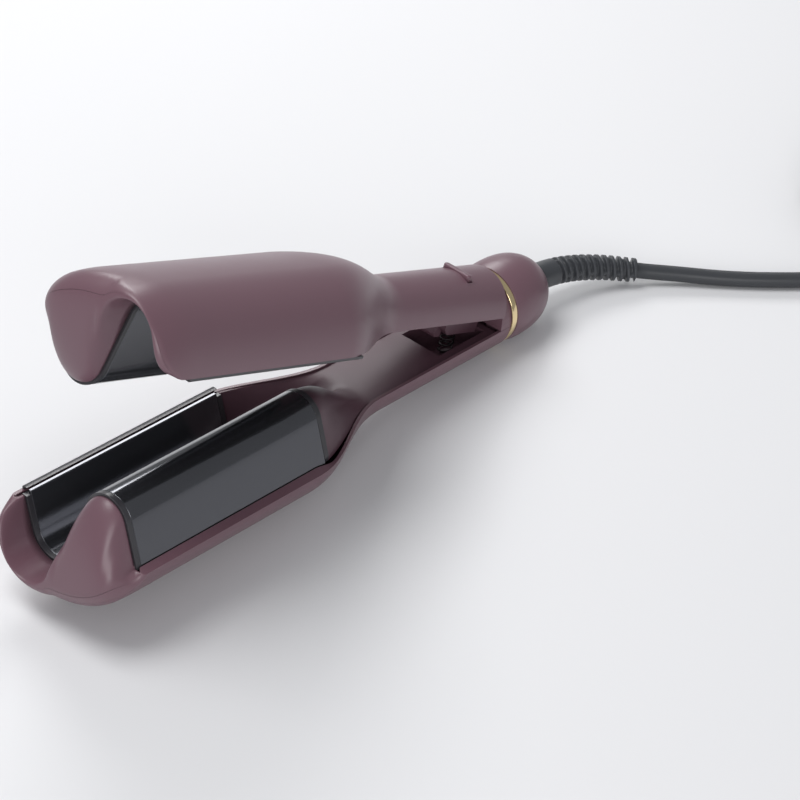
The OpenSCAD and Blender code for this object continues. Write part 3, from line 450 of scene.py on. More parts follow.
def sleeve(bm, path, radii, sides):
    """A closed tube: one circle, extruded from point to point and scaled to each radius."""
    def stand(i):
        ahead = (path[min(i + 1, len(path) - 1)] - path[max(i - 1, 0)]).normalized()
        side = ahead.cross(Vector((0, 0, 1))).normalized()
        top = side.cross(ahead)
        return Matrix(((side.x, top.x, ahead.x, path[i].x), (side.y, top.y, ahead.y, path[i].y),
                       (side.z, top.z, ahead.z, path[i].z), (0, 0, 0, 1)))

    ring = bmesh.ops.create_circle(bm, cap_ends=True, segments=sides, radius=radii[0],
                                   matrix=stand(0))["verts"]
    edges = list({e for v in ring for e in v.link_edges})
    rings = [ring]
    for i in range(1, len(path)):
        grown = bmesh.ops.extrude_edge_only(bm, edges=edges)["geom"]
        ring, edges = only(grown, bmesh.types.BMVert), only(grown, bmesh.types.BMEdge)
        step = stand(i) @ Matrix.Scale(radii[i] / radii[i - 1], 4) @ stand(i - 1).inverted()
        bmesh.ops.transform(bm, matrix=step, verts=ring)
        rings.append(ring)
    bmesh.ops.contextual_create(bm, geom=edges)
    return rings, stand


# %% [markdown]
# The tube thins towards its end. Its slots could be cut with a boolean, but cutters on a bent path leave a
# ragged mesh, so we press them in by moving the points of the wall. The slots slant, because the mould's
# blades do, and every second row is turned a quarter, so that the sleeve bends alike both ways.

# %% Ribbed relief
relief_steps, relief_sides = 300, 48
neck_len, collar_r, tip_wall, taper_power = 2.2, 6.7, 2.0, 1.1
ribs, ribs_from, slot_deep, slot_slant, slot_half, slot_edge = 12, 0.27, 1.9, 1.1, 0.32, 0.1
bridge_deep, bridge_half = 0.25, 0.12
relief_marks = [0.0]
for a, b in zip(relief_line, relief_line[1:]):
    relief_marks.append(relief_marks[-1] + (b - a).length)
relief_len = relief_marks[-1]


def along_relief(s):
    i = min(max(j for j in range(len(relief_marks)) if relief_marks[j] <= s + 1e-9), len(relief_marks) - 2)
    share = (s - relief_marks[i]) / (relief_marks[i + 1] - relief_marks[i])
    return relief_line[i].lerp(relief_line[i + 1], share)


def relief_r(s):
    """Radius of the sleeve: a neck inside the cap, a collar, then a slow taper."""
    if s < neck_len:
        return neck_r
    full = mix(collar_r, cord_d / 2 + tip_wall, (s / relief_len) ** taper_power)
    return mix(neck_r + 0.3, full, ease((s - neck_len) / 2))


relief_s = [relief_len * k / relief_steps for k in range(relief_steps + 1)]
bm = bmesh.new()
relief_rings, relief_stand = sleeve(bm, [along_relief(s) for s in relief_s], [relief_r(s) for s in relief_s],
                                    relief_sides)
for i, ring in enumerate(relief_rings):
    axis = relief_stand(i).inverted()
    for v in ring:
        flat = axis @ v.co
        a = math.atan2(flat.y, flat.x)
        u = ((relief_s[i] + slot_slant * math.sin(a)) / relief_len - ribs_from) / (1 - ribs_from) * ribs
        if u < 0 or u > ribs - 0.2:
            continue
        blade = ease((slot_half - abs(u % 1 - 0.5)) / slot_edge)
        turned = a + (math.pi / 2 if int(u) % 2 else 0)
        bridge = mix(bridge_deep, 1, ease((abs(math.cos(turned)) - bridge_half) / bridge_half))
        r = flat.xy.length
        flat.xy *= (r - slot_deep * blade * bridge) / r
        v.co = relief_stand(i) @ flat
relief = make_piece(bm, "strain_relief_ribbed", "lower_arm", ["strain_relief"], relief_rubber,
                    TABLE)

# %% [markdown]
# ## The plug
# A moulded plug is a soft block that widens from the cord to the face with the pins. It is drawn as one
# rounded outline, extruded from station to station and scaled, as a potter would draw up a wall.

# %% Plug
PLUG = TABLE @ Matrix.Translation(plug_at) @ Matrix.Rotation(math.pi / 2, 4, "Z")
plug_square, plug_nose, plug_waist = 0.444, 0.9, 0.7
plug_outline = [(0, 6), (3, 7.2), (7, 7.8), (12, 8.9), (17, 12), (21, 15.2), (24.5, 16.9), (29, 17.3),
                (plug_len, 17.4)]
bm = bmesh.new()
outline = bmesh.ops.create_circle(bm, cap_ends=True, segments=48, radius=1)["verts"]
for v in outline:
    v.co.x, v.co.y = (math.copysign(abs(c) ** plug_square, c) for c in (v.co.x, v.co.y))
edges = list({e for v in outline for e in v.link_edges})
start, last_wide, last_tall = True, 1.0, 1.0
for station in smooth_line([Vector(p) for p in plug_outline], 3):
    x, wide = station
    tall = plug_h / 2 - plug_nose * (1 - ease(x / 10))
    tall -= plug_waist * ease((x - 14) / 6) * (1 - ease((x - 24) / 4))
    if not start:
        grown = bmesh.ops.extrude_edge_only(bm, edges=edges)["geom"]
        outline, edges = only(grown, bmesh.types.BMVert), only(grown, bmesh.types.BMEdge)
    bmesh.ops.scale(bm, vec=(wide / last_wide, tall / last_tall, 1), verts=outline)
    bmesh.ops.translate(bm, vec=(0, 0, x - outline[0].co.z), verts=outline)
    start, last_wide, last_tall = False, wide, tall
bmesh.ops.contextual_create(bm, geom=edges)
TO_PLUG = PLUG @ Matrix.Translation((0, 0, plug_h / 2)) @ Matrix(
    ((0, 0, 1, 0), (1, 0, 0, 0), (0, 1, 0, 0), (0, 0, 0, 1)))
plug = make_piece(bm, "plug_moulding", "lower_arm", ["plug_body"], cord_rubber, TO_PLUG, 1.2,
                  60, 4)

# %% [markdown]
# Each pin is a turned brass rod whose rear half wears an insulating sleeve. A rod is a cylinder, so the
# cylinder operator makes it, and its tip is rounded with a wide bevel.

# %% Pins


def round_edges(bm, edges, radius, segments):
    """Round some edges of a piece more than the rest."""
    bmesh.ops.bevel(bm, geom=edges, offset=radius, offset_type="OFFSET", affect="EDGES", segments=segments,
                    profile=0.5, material=-1)


pins, pin_r = [], plug_pin_d / 2
for name, x0, x1, r, paint, slot, tip in (
        ("plug_pin_tips", plug_len + 9, plug_len + 19, pin_r, pin_brass, "pin_brass", 0.9),
        ("plug_pin_sleeves", plug_len - 0.5, plug_len + 9.2, pin_r - 0.02, nylon_black, "cord_rubber", 0.1)):
    bm = bmesh.new()
    for side in (-1, 1):
        at = Matrix.Translation((side * plug_pitch / 2, 0, (x0 + x1) / 2))
        rod = bmesh.ops.create_cone(bm, cap_ends=True, segments=28, radius1=r, radius2=r, depth=x1 - x0,
                                    matrix=at)["verts"]
        front = {e for v in rod for e in v.link_edges if all(w.co.z > x1 - 0.01 for w in e.verts)}
        round_edges(bm, list(front), tip, 4)
    pins.append(make_piece(bm, name, "lower_arm", ["plug_pins"], paint, TO_PLUG))

# %% [markdown]
# ## The strap
# A woven strap holds the bunch. It is a flat band with rounded corners: a cube's side walls give the loop,
# a bevel rounds its corners, and the wall is thickened.

# %% Strap


def block(bm, centre, size):
    bmesh.ops.create_cube(bm, size=1, matrix=Matrix.Translation(centre) @ Matrix.Diagonal((*size, 1)))


tie_angle, tie_half, tie_t, tie_corner = 200, 6.0, 0.9, 3.2
outer_slack, side_slack, top_slack = 0.4, 1.0, 1.05
tie_y0 = -(coil_d + 3 * cord_d) / 2 - outer_slack - tie_t / 2
tie_y1 = tie_y0 + 3 * cord_d + side_slack + tie_t
tie_z0, tie_z1 = tie_t / 2, top_slack + 2 * cord_d + tie_t / 2
STRAP = TABLE @ Matrix.Translation(coil_centre) @ Matrix.Rotation(math.radians(tie_angle), 4, "Z")
bm = bmesh.new()
block(bm, (0, (tie_y0 + tie_y1) / 2, (tie_z0 + tie_z1) / 2), (2 * tie_half, tie_y1 - tie_y0, tie_z1 - tie_z0))
ends = [f for f in bm.faces if abs(f.normal.x) > 0.9]
bmesh.ops.delete(bm, geom=ends, context="FACES_ONLY")
corners = [e for e in bm.edges if abs((e.verts[0].co - e.verts[1].co).x) > 1]
round_edges(bm, corners, tie_corner, 8)
bmesh.ops.recalc_face_normals(bm, faces=bm.faces)
bmesh.ops.solidify(bm, geom=bm.faces[:], thickness=tie_t)
strap = make_piece(bm, "coil_strap", "lower_arm", ["cord_tie"], strap_fabric, STRAP, 0.2, 60)

# %% [markdown]
# ## The section of the casing
# Across the arm, the casing is two quarters of an ellipse that share their deepest line, which lies to one
# side under the wave's trough. Towards the handle it shrinks to a half circle. These short functions give its
# width, depth and lean at any place along the arm.

# %% Section of the casing
section_part, handle_lip = 40, 0.2
button_span = math.degrees(math.asin((button_w / 2 + 0.5) / handle_r))


def shrink(x, start, over, power=1.0):
    return 1 - ease(max(0.0, (x - start) / over) ** power)


def width_at(x):
    return mix(handle_r, head_half, shrink(x, taper_x0, taper_len))


def bias_at(x):
    return head_bias * shrink(x, taper_x0, taper_len)


def depth_at(x):
    return mix(handle_r, head_depth, shrink(x, taper_x0 - 2, taper_len + 8, 1.7))


def reach_at(x, y):
    return width_at(x) + (bias_at(x) if y < bias_at(x) else -bias_at(x))


def section(x, inset, rests):
    """Points round the casing at x, from the near lip under the arm to the far lip."""
    y0, deep = bias_at(x), depth_at(x) - inset
    lip = mix(handle_lip, lip_drop, shrink(x, taper_x0, taper_len))
    a0, b0 = math.degrees(math.asin(lip / deep)), 90 - button_span
    angles = [mix(a0, b0, i / section_part) for i in range(section_part)]
    angles += [mix(b0, 180 - b0, i / section_part) for i in range(section_part)]
    angles += [mix(180 - b0, 180 - a0, i / section_part) for i in range(section_part + 1)]
    row = []
    for a in angles:
        z = -deep * sin_d(a)
        row.append(Vector((x, y0 - (reach_at(x, y0 - cos_d(a)) - inset) * cos_d(a),
                           max(z, floor_z(x) + inset) if rests else z)))
    return row


print("head section is", 2 * width_at(0), "by", depth_at(0), "mm")

# %% [markdown]
# ## The wave
# Seen from the nose, the plates follow one curve: a steep flank, a round crest, a steep middle, a round
# trough and a last flank. Both jaws use it, half a turn apart, so that crest meets trough. The curve is
# offset by d for each layer that lies below it.

# %% The wave curve
wave_b, wave_m = wave_pitch / 2, wave_height / 2 - wave_r
arc_steps, flank_steps = 24, 8
mid_angle = math.degrees(math.acos(wave_r / math.hypot(wave_b, wave_m)) - math.atan(wave_m / wave_b))
foot = (-plate_w / 2, -lip_drop)
foot_to_crest = (-wave_b - foot[0], wave_m - foot[1])
flank_dir = math.degrees(math.atan2(foot_to_crest[1], foot_to_crest[0])
                         + math.asin(wave_r / math.hypot(*foot_to_crest)))


def wave(d, z_far=-lip_drop):
    """The plates' curve, d below the meeting face, from the near edge to the far one, as (y, z)."""
    r1, r2, a0 = wave_r - d, wave_r + d, flank_dir + 90
    crest = [Vector((-wave_b + r1 * cos_d(a), wave_m + r1 * sin_d(a)))
             for a in (mix(a0, mid_angle, i / arc_steps) for i in range(arc_steps + 1))]
    trough = [Vector((wave_b - r2 * cos_d(a), -wave_m - r2 * sin_d(a)))
              for a in (mix(mid_angle, a0, i / arc_steps) for i in range(arc_steps + 1))]
    slope = Vector((cos_d(flank_dir), sin_d(flank_dir)))
    near = crest[0] + slope * (-lip_drop - crest[0].y) / slope.y
    far = trough[-1] + slope * (z_far - trough[-1].y) / slope.y
    n = flank_steps
    return ([near.lerp(crest[0], i / (n + 1)) for i in range(n + 1)] + crest
            + [crest[-1].lerp(trough[0], i / (n + 1)) for i in range(1, n + 1)] + trough
            + [trough[-1].lerp(far, i / (n + 1)) for i in range(1, n + 2)])


def inside(x, p, inset):
    """A point of an inner piece, drawn in until it clears the casing wall by inset."""
    y0, low = bias_at(x), min(0.0, p[1])
    r = max(1.0, math.hypot((p[0] - y0) / (reach_at(x, p[0]) - inset), low / (depth_at(x) - inset)))
    return Vector((y0 + (p[0] - y0) / r, p[1] / r if p[1] < 0 else p[1]))


wave_top = [inside(0, p, inner_inset) for p in wave(plate_step)]
wave_tall = max(p.y for p in wave_top) - min(p.y for p in wave_top)
print("wave has", len(wave_top), "points and is", round(wave_tall, 1), "mm tall")

# %% [markdown]
# ## The nose
# In front of the plates, the casing closes in one flowing form: it rolls round the rim and comes back up to
# the plate's edge, following the wave. Think of a ray from the wave's edge straight out to the casing, one
# for each point across the arm. Along each ray the nose first turns in with a round roll and then runs back
# in a slow curve, which is fuller over the trough and leaner over the crest.
# A surface like this is lofted, so we work out where each point of a flat grid goes.

# %% Shape of the nose
sweep_x = -trim_w - fit_gap
part_crest, part_trough, front_limit = 76.0, 45.0, 17.5
nose_reach, nose_draft, roll_share, least_roll = 20.2, 2.5, 0.6, 0.2
sweep_crest, sweep_trough, sweep_fade = 42.0, 22.0, 12
full_power, lean_power, power_z0, power_span = 0.5, 1.22, -12, 24


def soft_min(a, b, power=4):
    return (a ** -power + b ** -power) ** (-1 / power)


rim_spread = (head_half - wave_b) / (wave_top[-1].x - wave_b)


def spread(y, factor):
    """Outside the crest and the trough, the rim is wider than the wave by this factor."""
    return y if abs(y) <= wave_b else math.copysign(wave_b + (abs(y) - wave_b) * factor, y)


class Ray:
    """From the outside of the casing to the wave's edge, with the roll and the front on it."""

    def __init__(self, y_out):
        y_out = max(-head_half + 0.02, min(head_half - 0.02, y_out))
        share = (y_out - head_bias) / reach_at(0, y_out)
        self.out = Vector((y_out, min(-lip_drop, -head_depth * math.sqrt(max(0, 1 - share * share)))))
        y_in = spread(y_out, 1 / rim_spread)
        self.edge = Vector((y_in, float(np.interp(y_in, [p.x for p in wave_top], [p.y for p in wave_top]))))
        self.span = max(1.0, (self.edge - self.out).length)
        self.dir = (self.edge - self.out) / self.span
        self.roll = soft_min(nose_r, self.span / 2)
        a = math.degrees(math.atan2(-self.out.y / head_depth, abs(share)))
        sweep = (sweep_crest if y_out < head_bias else sweep_trough) * math.exp(-a / sweep_fade)
        self.front = -nose_reach + soft_min(max(sweep, 0.05), front_limit)
        self.power = mix(full_power, lean_power, ease((self.edge.y - power_z0) / power_span))
        self.part = mix(part_crest, part_trough, ease(y_out / plate_w * 2))

    def at(self, x, lateral):
        draft = nose_draft * max(0.0, -x / nose_len) ** 2 * (1 - lateral / self.span)
        p = self.out + self.dir * (lateral + draft)
        return Vector((x, p.x, p.y))

    def rolled(self, a, under=0.0):
        """The roll at angle a, from the straight side at 0 to the very front at 90."""
        r = max(least_roll, self.roll - under)
        return self.at(self.front + self.roll - r * sin_d(a), self.roll - r * cos_d(a))

    def drawn(self, q, under=0.0):
        """The slow curve from the front at 0 back to the plate's edge at 90."""
        u, v = max(0.0, sin_d(q)) ** self.power, max(0.0, cos_d(q)) ** self.power
        deep = min(under, roll_share * self.roll)
        return self.at(sweep_x + (self.front - sweep_x) * v + deep * v,
                       self.roll + (self.span - self.roll) * u - deep * u)


rays = [Ray(p.y) for p in section(0, 0, False)]
print("front of the nose at", round(min(ray.front for ray in rays), 1), "mm, from", len(rays), "rays")

# %% [markdown]
# ## A bent sheet
# Most of the casing is a thin moulded wall that follows a shape given by functions. The create_grid operator
# makes a flat grid, each of its points is moved to its place on the outside, and one extrusion gives the
# inside. A hole is made by deleting faces before the extrusion, which then walls it round as well.

# %% Grid to wall


def bent_sheet(bm, outer, inner, hole=None):
    rows, columns = len(outer), len(outer[0])
    spot = bm.verts.layers.int.get("spot") or bm.verts.layers.int.new("spot")
    grid = bmesh.ops.create_grid(bm, x_segments=columns - 1, y_segments=rows - 1, size=1)["verts"]
    for v in grid:
        i, j = round((v.co.y + 1) / 2 * (rows - 1)), round((v.co.x + 1) / 2 * (columns - 1))
        v[spot] = i * columns + j
        v.co = outer[i][j]
    faces = list({f for v in grid for f in v.link_faces})
    if hole:
        inside_hole = []
        for f in faces:
            i, j = divmod(min(v[spot] for v in f.verts), columns)
            if hole[0] <= i < hole[1] and hole[2] <= j < hole[3]:
                inside_hole.append(f)
        bmesh.ops.delete(bm, geom=inside_hole, context="FACES")
        faces = [f for f in faces if f.is_valid]
    grown = bmesh.ops.extrude_face_region(bm, geom=faces)["geom"]
    for v in only(grown, bmesh.types.BMVert):
        i, j = divmod(v[spot], columns)
        v.co = inner[i][j]


# %% [markdown]
# ## The two casings
# The casing runs from the roll of the nose to the handle. The upper one has a slot for the power button.
# Its inside keeps the wall's thickness, except beside the plate, where the lip is wide.

# %% Casings
near_lip, lip_rise = head_half - plate_w / 2 - fit_gap, 1.1
roll_rows, nose_rows, straight_rows, taper_rows, slot_rows, grip_rows = 16, 5, 8, 48, 6, 8
casing_x0, casing_x1, taper_lead, slot_gap, upper_back = 2.0, 4.0, 6.0, 0.2, 21.0


def casing_rows(rear_x, rests, slot_x):
    outer, inner = [], []
    for k in range(roll_rows):
        left = 1 - k / (roll_rows - 1)
        outer.append([ray.rolled(ray.part * left) for ray in rays])
        inner.append([ray.rolled(ray.part * left, shell_t) for ray in rays])
        share = cos_d(rays[0].part * left)
        inner[-1][0] = rays[0].at(outer[-1][0].x, max(near_lip * share, rays[0].roll))
        inner[-1][0].z += lip_rise * share
    for k in range(1, nose_rows + 1):
        row_xs = [mix(ray.front + ray.roll, casing_x0, k / nose_rows) for ray in rays]
        outer.append([ray.at(x, 0) for ray, x in zip(rays, row_xs)])
        inner.append([ray.at(x, shell_t) for ray, x in zip(rays, row_xs)])
        inner[-1][0] = rays[0].at(row_xs[0], near_lip)
        inner[-1][0].z += lip_rise
    lead_x = taper_x0 - taper_lead
    xs = [mix(casing_x1, lead_x, k / straight_rows) for k in range(straight_rows + 1)]
    xs += [lead_x + (taper_len + 2 * taper_lead) * k / taper_rows for k in range(1, taper_rows + 1)]
    hole = None
    if slot_x:
        half = button_l / 2 + slot_gap
        xs += [mix(xs[-1], slot_x - half, k / slot_rows) for k in range(1, slot_rows + 1)] + [slot_x + half]
        row = len(outer) + len(xs) - 2
        hole = (row, row + 1, section_part, 2 * section_part)
    xs += [mix(xs[-1], rear_x, k / grip_rows) for k in range(1, grip_rows + 1)]
    for x in xs:
        outer.append(section(x, 0, rests))
        row = section(x, shell_t, rests)
        row[0].y += (near_lip - shell_t) * shrink(x, taper_x0, 12)
        row[0].z += lip_rise * shrink(x, taper_x0, 12)
        inner.append(row)
    return outer, inner, hole


def arm_piece(bm, arm, name, node, paint, radius=0.0, angle=35):
    """A piece that both arms have, named after its arm."""
    make_piece(bm, f"{arm}_{name}", f"{arm}_arm", [f"{arm}_{node}"], paint, ARMS[arm], radius, angle)


for arm, rear_x, rests, slot_x in (("lower", ring_x, True, 0),
                                   ("upper", hinge_x - upper_back, False, button_x)):
    bm = bmesh.new()
    bent_sheet(bm, *casing_rows(rear_x, rests, slot_x))
    arm_piece(bm, arm, "casing", "shell", casing_mauve, 0.3, 50)

# %% [markdown]
# ## The nose caps
# The cap is a second moulding that meets the casing in a hairline just inside the roll, and carries the
# surface back to the plate. It uses the same rays, so the two pieces flow into each other.

# %% Nose caps
hem_rows, drawn_rows, hairline = 8, 26, 1.0


def cap_rows(under):
    rows = [[ray.rolled(mix(ray.part + hairline, 90, k / hem_rows), under) for ray in rays]
            for k in range(hem_rows)]
    return rows + [[ray.drawn(90 * k / drawn_rows, under) for ray in rays] for k in range(drawn_rows + 1)]


for arm in ARMS:
    bm = bmesh.new()
    bent_sheet(bm, cap_rows(0), cap_rows(cover_t))
    arm_piece(bm, arm, "nose", "nose_cap", casing_mauve)

# %% [markdown]
# ## The inner covers
# Behind the plates the wave dies out into the flat inner face of the handle. Each row of the cover is a mix
# of the wave and a flat line, and eases from one to the other. A window leaves room for the spring.

# %% Inner covers
cover_x0 = plate_len + trim_w + fit_gap
cover_back, ramp_rows, ramp_rush = 21.4, 36, 1.08
cover_x1 = hinge_x - cover_back
ramp_x1 = taper_x1 + 2
well_span, block_span = (56.8, 25.0), (54.2, 26.0)
columns = len(wave(0))
hole_columns = (round(columns * 0.1), columns - 1 - round(columns * 0.1))


def flat_y(j, half, hole):
    a, b = hole_columns
    if j <= a:
        return mix(-half, -hole, j / a)
    return mix(-hole, hole, (j - a) / (b - a)) if j < b else mix(hole, half, (j - b) / (columns - 1 - b))


def cover_rows(d, hole, hole_xs):
    xs = [mix(cover_x0, ramp_x1, i / ramp_rows) for i in range(ramp_rows + 1)]
    xs += [mix(ramp_x1, hole_xs[0], k / 3) for k in (1, 2)] + [*hole_xs, cover_x1]
    rows = []
    for x in xs:
        s, half = ease((x - cover_x0) / (ramp_x1 - cover_x0) * ramp_rush), width_at(x) - inner_inset
        row = []
        for j, p in enumerate(wave(plate_step + d)):
            y = mix(p.x * width_at(x) / width_at(cover_x0), flat_y(j, half, hole), s)
            q = inside(x, (y, mix(p.y, -cover_recess - d, s)), inner_inset + (0 if d else 0.5))
            row.append(Vector((x, q.x, q.y)))
        rows.append(row)
    return rows


for arm, hole, span in (("lower", well_w / 2, well_span), ("upper", block_w / 2 + 0.2, block_span)):
    hole_xs = [hinge_x - back_by for back_by in span]
    bm = bmesh.new()
    bent_sheet(bm, cover_rows(0, hole, hole_xs), cover_rows(cover_t, hole, hole_xs),
               (ramp_rows + 3, ramp_rows + 4, *hole_columns))
    # The covers take the darker mauve, whose darkening is painted shade.
    arm_piece(bm, arm, "cover", "inner_cover", inner_mauve_painted_shade, 0.2, 60)

# %% [markdown]
# ## Plates and carriers
# The wave plate is pressed from sheet and the carrier holds it from below and round its ends. Both have one
# profile all along, so a single face with that profile is made and extruded along the arm. Two offsets of the
# wave give the profile, with both ends drawn in where the casing is narrow.

# %% Extruded profiles
plate_d0 = plate_gap / 2
plate_d1 = plate_d0 + plate_t
carrier_d0 = plate_d1 + fit_gap
far_z = -1.2


def layer(x1, d0, d1, z_far):
    """The profile between d0 and d1 below the meeting face, clear of the casing wall at x1."""
    low = [inside(x1, p, inner_inset) for p in wave(d1, z_far)]
    return low + [inside(x1, p, inner_inset + d1 - d0) for p in reversed(wave(d0, z_far))]


def extruded(bm, profile, x0, x1):
    face = bm.faces.new([bm.verts.new((x0, p[0], p[1])) for p in profile])
    grown = bmesh.ops.extrude_face_region(bm, geom=[face])["geom"]
    bmesh.ops.translate(bm, vec=(x1 - x0, 0, 0), verts=only(grown, bmesh.types.BMVert))


# %% [markdown]
# The carrier is four such bodies: a bed under the plate, a border at each end that rises to the plate's face,
# and a strip along the far edge that closes the gap to the casing.

# %% Plates and carriers
edge_strip = [(35.45, -2.45), (36.7, -2.45), (36.7, -1.3), (36.3, -0.9), (34.0, -0.9), (34.0, -1.15),
              (35.45, -1.15)]
carrier_x1, border_d1 = plate_len + trim_w, carrier_d0 + carrier_t / 2
for arm in ARMS:
    bm = bmesh.new()
    extruded(bm, layer(plate_len, plate_d0, plate_d1, far_z), 0, plate_len)
    arm_piece(bm, arm, "wave_plate", "plate", plate_coat, 0.35, 50)
    bm = bmesh.new()
    extruded(bm, layer(plate_len + 1, carrier_d0, carrier_d0 + carrier_t, -lip_drop), -trim_w, plate_len + 1)
    extruded(bm, layer(-fit_gap / 2, plate_d0, border_d1, -lip_drop), -trim_w, -fit_gap / 2)
    extruded(bm, layer(carrier_x1, plate_d0, border_d1, -lip_drop), plate_len + fit_gap / 2, carrier_x1)
    extruded(bm, edge_strip, -fit_gap, carrier_x1)
    arm_piece(bm, arm, "carrier", "plate_carrier", carrier_grey, 0.25, 50)

# %% [markdown]
# ## The rear cap and the gold ring
# Both are turned parts, so each is one closed profile of lengths and radii, spun all the way round the axis
# of the rear end. A stretched sphere could be the cap, but its pole would lie where the cord comes out.

# %% Turned parts
cap_wall, cap_fullness, cap_hem = 1.9, 0.957, 2.1


def turned(bm, profile, steps):
    """A closed profile of (x, radius), spun once round the axis of the rear end."""
    verts = [bm.verts.new((x, 0, cap_raise + r)) for x, r in profile]
    edges = [bm.edges.new((a, b)) for a, b in zip(verts, verts[1:] + verts[:1])]
    bmesh.ops.spin(bm, geom=verts + edges, cent=(0, 0, cap_raise), axis=(1, 0, 0), angle=2 * math.pi,
                   steps=steps, use_merge=True)


def cap_r(x):
    if x < cap_belly:
        return mix(ring_d / 2, cap_d / 2, sin_d(90 * (x - cap_x0) / (cap_belly - cap_x0)))
    reach = (cap_x1 - cap_belly) / cap_fullness
    return cap_d / 2 * (1 - ((x - cap_belly) / reach) ** cap_power) ** (1 / cap_power)


# %% [markdown]
# The cap swells from the ring to its belly and closes in a blunt dome round the cord's hole. Its underside is
# cut flat where it stands on the table.

# %% Rear cap
cap_xs = [mix(cap_x0, cap_belly, k / 10) for k in range(10)]
cap_xs += [mix(cap_belly, cap_x1, sin_d(90 * k / 36)) for k in range(37)]
cap_profile = [(x, cap_r(x)) for x in cap_xs]
cap_profile += [(cap_x1, neck_r + 0.5), (cap_x1 - 0.6, neck_r + fit_gap), (cap_x1 - 2, neck_r + fit_gap),
                (cap_x1 - cap_hem, cap_r(cap_x1 - cap_hem) - cap_wall)]
cap_profile += [(x, cap_r(x) - cap_wall) for x in reversed(cap_xs) if x < cap_x1 - cap_hem]
bm = bmesh.new()
turned(bm, cap_profile, 144)
for v in bm.verts:
    v.co.z = max(v.co.z, floor_z(v.co.x))
make_piece(bm, "rear_bulb", "lower_arm", ["rear_cap"], casing_mauve, LOWER, 0.2, 50)

# %% [markdown]
# The ring is a slim polished band with a domed face. The dome is what draws a thin line of light on it.

# %% Gold ring
ring_in, ring_out = ring_d / 2 - 1.1 + fit_gap / 2, ring_d / 2
ring_dome, ring_mid = 0.8, ring_x + ring_w / 2
ring_profile = [(ring_x, ring_in)]
for k in range(13):
    a = 180 - 15 * k
    ring_profile.append((ring_mid + ring_w / 2 * cos_d(a),
                         ring_out - ring_dome + ring_dome * max(0, sin_d(a)) ** 0.6))
ring_profile.append((ring_x + ring_w, ring_in))
bm = bmesh.new()
turned(bm, ring_profile, 160)
make_piece(bm, "gold_ring", "lower_arm", ["trim_ring"], ring_gold, LOWER)

# %% [markdown]
# ## The power button
# The button is a straight pill that stands proud of the round handle. A cube gives the bar, a wide bevel
# makes its ends round, and a finer one softens its top. A plain foot below it fills the slot.

# %% Button
bar_top, bar_low = -(handle_r + button_rise), -(handle_r - 2.4)
foot_middle, foot_t = -(handle_r - 2.45), 1.3
bm = bmesh.new()
block(bm, (button_x, 0, (bar_top + bar_low) / 2), (button_l, button_w, bar_low - bar_top))
ends = [e for e in bm.edges if abs((e.verts[0].co - e.verts[1].co).z) > 1]
round_edges(bm, ends, button_l / 2 - 0.05, 10)
rim = [e for e in bm.edges if all(v.co.z < bar_top + 0.01 for v in e.verts)]
round_edges(bm, rim, 0.8, 6)
block(bm, (button_x, 0, foot_middle), (button_l + 2, button_w - 1, foot_t))
make_piece(bm, "button_bar", "power_button", ["power_button"], casing_mauve, UPPER)

# %% [markdown]
# ## The opening spring
# A coil spring pushes the jaws apart. A coil is a small circle that turns about an axis and climbs at the
# same time, which is just what spin does when it is given a shift for each step.

# %% Spring
spring_d, spring_wire, spring_turns, spring_back, spring_len = 7.0, 0.9, 7, 38.0, 23.3
spring_foot_z, spring_lean, turn_steps, closed_share = -13.35, 3.745, 24, 0.5
SPRING = (LOWER @ Matrix.Translation((hinge_x - spring_back, 0, spring_foot_z))
          @ Matrix.Rotation(math.radians(spring_lean), 4, "Y"))
bm = bmesh.new()
wire = (Matrix.Translation(((spring_d - spring_wire) / 2, 0, spring_wire / 2))
        @ Matrix.Rotation(math.pi / 2, 4, "X"))
ring = bmesh.ops.create_circle(bm, cap_ends=False, segments=10, radius=spring_wire / 2, matrix=wire)["verts"]
coil_spins = spring_turns * turn_steps
first = list({e for v in ring for e in v.link_edges})
spun = bmesh.ops.spin(bm, geom=ring + first, cent=(0, 0, 0), axis=(0, 0, 1), angle=2 * math.pi * spring_turns,
                      dvec=(0, 0, (spring_len - spring_wire) / coil_spins), steps=coil_spins)["geom_last"]
bmesh.ops.contextual_create(bm, geom=first)
bmesh.ops.contextual_create(bm, geom=only(spun, bmesh.types.BMEdge))
# The spring wears the dark mauve-grey of painted shade, so it sinks into the shade of its pocket.
spring = make_piece(bm, "jaw_spring", "lower_arm", ["opening_spring"], spring_painted_shade, SPRING)
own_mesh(spring)

# %% [markdown]
# ## What stays as it was drawn
# The hinge, the heaters and the wiring are right in the CAD and hardly seen, so their solids stay. They get
# their own finishes and a small radius on their edges.

# %% Finishes for the kept nodes
# The hinge arm, the spring block and the spring well take the darker mauve, whose darkening is painted shade.
KEPT = {
    "hinge_housing": casing_mauve, "hinge_arm": inner_mauve_painted_shade, "hinge_pin": steel, "hinge_bush": ivory,
    "spring_block": inner_mauve_painted_shade, "spring_well": inner_mauve_painted_shade, "terminal_block": ivory,
    "mains_leads": lead_red, "inner_cord": cord_rubber, "control_board": board_green,
    "button_switch": nylon_black, "board_screws": steel}
for arm in ("lower_", "upper_"):
    KEPT.update({arm + "heat_saddle": saddle_alloy, arm + "heater": heater_ceramic,
                 arm + "thermistor": sensor_resin, arm + "heater_clamp": steel, arm + "clamp_screws": steel,
                 arm + "heater_leads": lead_red})
for name, paint in KEPT.items():
    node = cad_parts[name]
    node.data.materials.clear()
    node.data.materials.append(paint)
    softened = node.modifiers.new("edge_radius", "BEVEL")
    softened.width = 0.3 * MM
    softened.segments = 2
    softened.angle_limit = math.radians(40)
    softened.harden_normals = True
print("kept nodes:", len(KEPT))

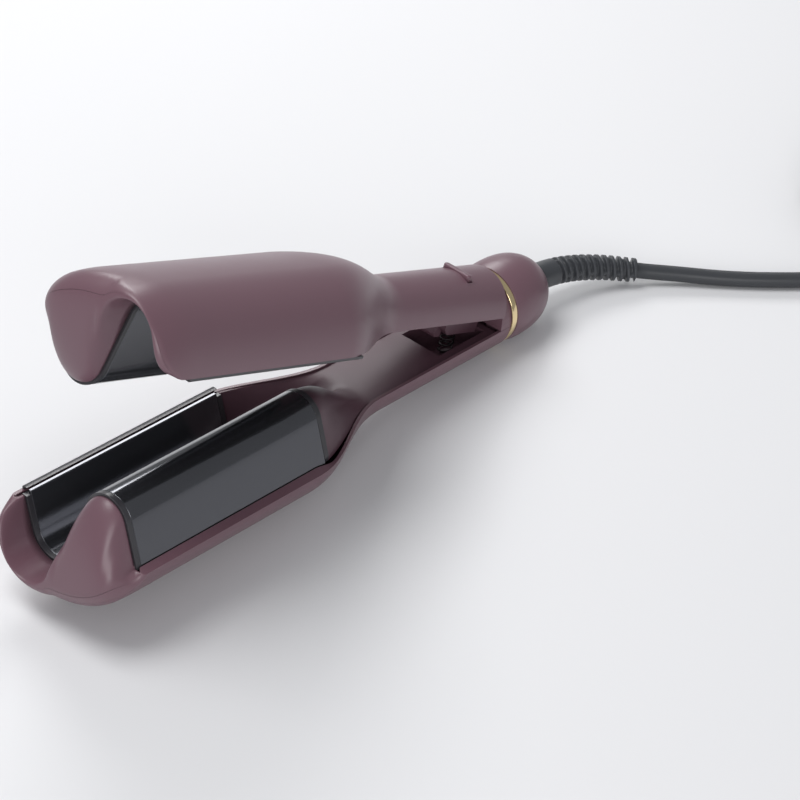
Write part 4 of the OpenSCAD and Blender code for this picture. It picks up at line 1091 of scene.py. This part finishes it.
# %% [markdown]
# ## The table
# A plain pale surface under soft light shows the shape and keeps a light shadow. It is a stage, not a part.

# %% Table
bm = bmesh.new()
bmesh.ops.create_grid(bm, x_segments=1, y_segments=1, size=3.0)
table_mesh = bpy.data.meshes.new("floor")
bm.to_mesh(table_mesh)
bm.free()
table = bpy.data.objects.new("floor", table_mesh)
bpy.context.scene.collection.objects.link(table)
pale_floor = finish("pale_floor", (226, 226, 228), 0.6, vary=0.01, bump=0.05, blotch=4, fine=300)
table_mesh.materials.append(pale_floor)
table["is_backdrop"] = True
print("table is", round(table.dimensions.x, 1), "m wide")

# %% [markdown]
# ## Light
# Three large soft lamps stand round the tool, and a dim pale sky fills the shadows. The key stands behind it,
# so that the rims and the plates catch long highlights. The level lets a colour render about as written.

# %% Lamps and sky
world = bpy.data.worlds.new("studio")
world.use_nodes = True
world.node_tree.nodes["Background"].inputs["Color"].default_value = (0.9, 0.92, 0.95, 1)
world.node_tree.nodes["Background"].inputs["Strength"].default_value = 0.35
bpy.context.scene.world = world


def softbox(name, place, aim, wide, tall, power):
    data = bpy.data.lights.new(name, "AREA")
    data.shape = "RECTANGLE"
    data.size, data.size_y = wide, tall
    data.energy = power
    lamp = bpy.data.objects.new(name, data)
    bpy.context.scene.collection.objects.link(lamp)
    lamp.location = place
    lamp.rotation_euler = (Vector(aim) - Vector(place)).to_track_quat("-Z", "Y").to_euler()
    print("softbox", name, power, "W")


softbox("key", (-0.3, 0.5, 1.6), (0, 0, 0), 0.9, 0.9, 16)
softbox("fill", (-1.2, -1.1, 0.7), (0, 0, 0.05), 1.2, 0.8, 12)
softbox("rim", (0.9, 1.0, 0.9), (0, 0, 0.05), 0.8, 0.5, 10)
bpy.context.scene.view_settings.view_transform = "Standard"

# %% [markdown]
# ## Measures
# The last step prints the size of the CAD model and of the finished look, so that the two can be compared.

# %% Sizes
look_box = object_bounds()
for name, (low, high) in (("CAD box", cad_box), ("look box", look_box)):
    print(name, [round(v / MM, 1) for v in low], [round(v / MM, 1) for v in high])
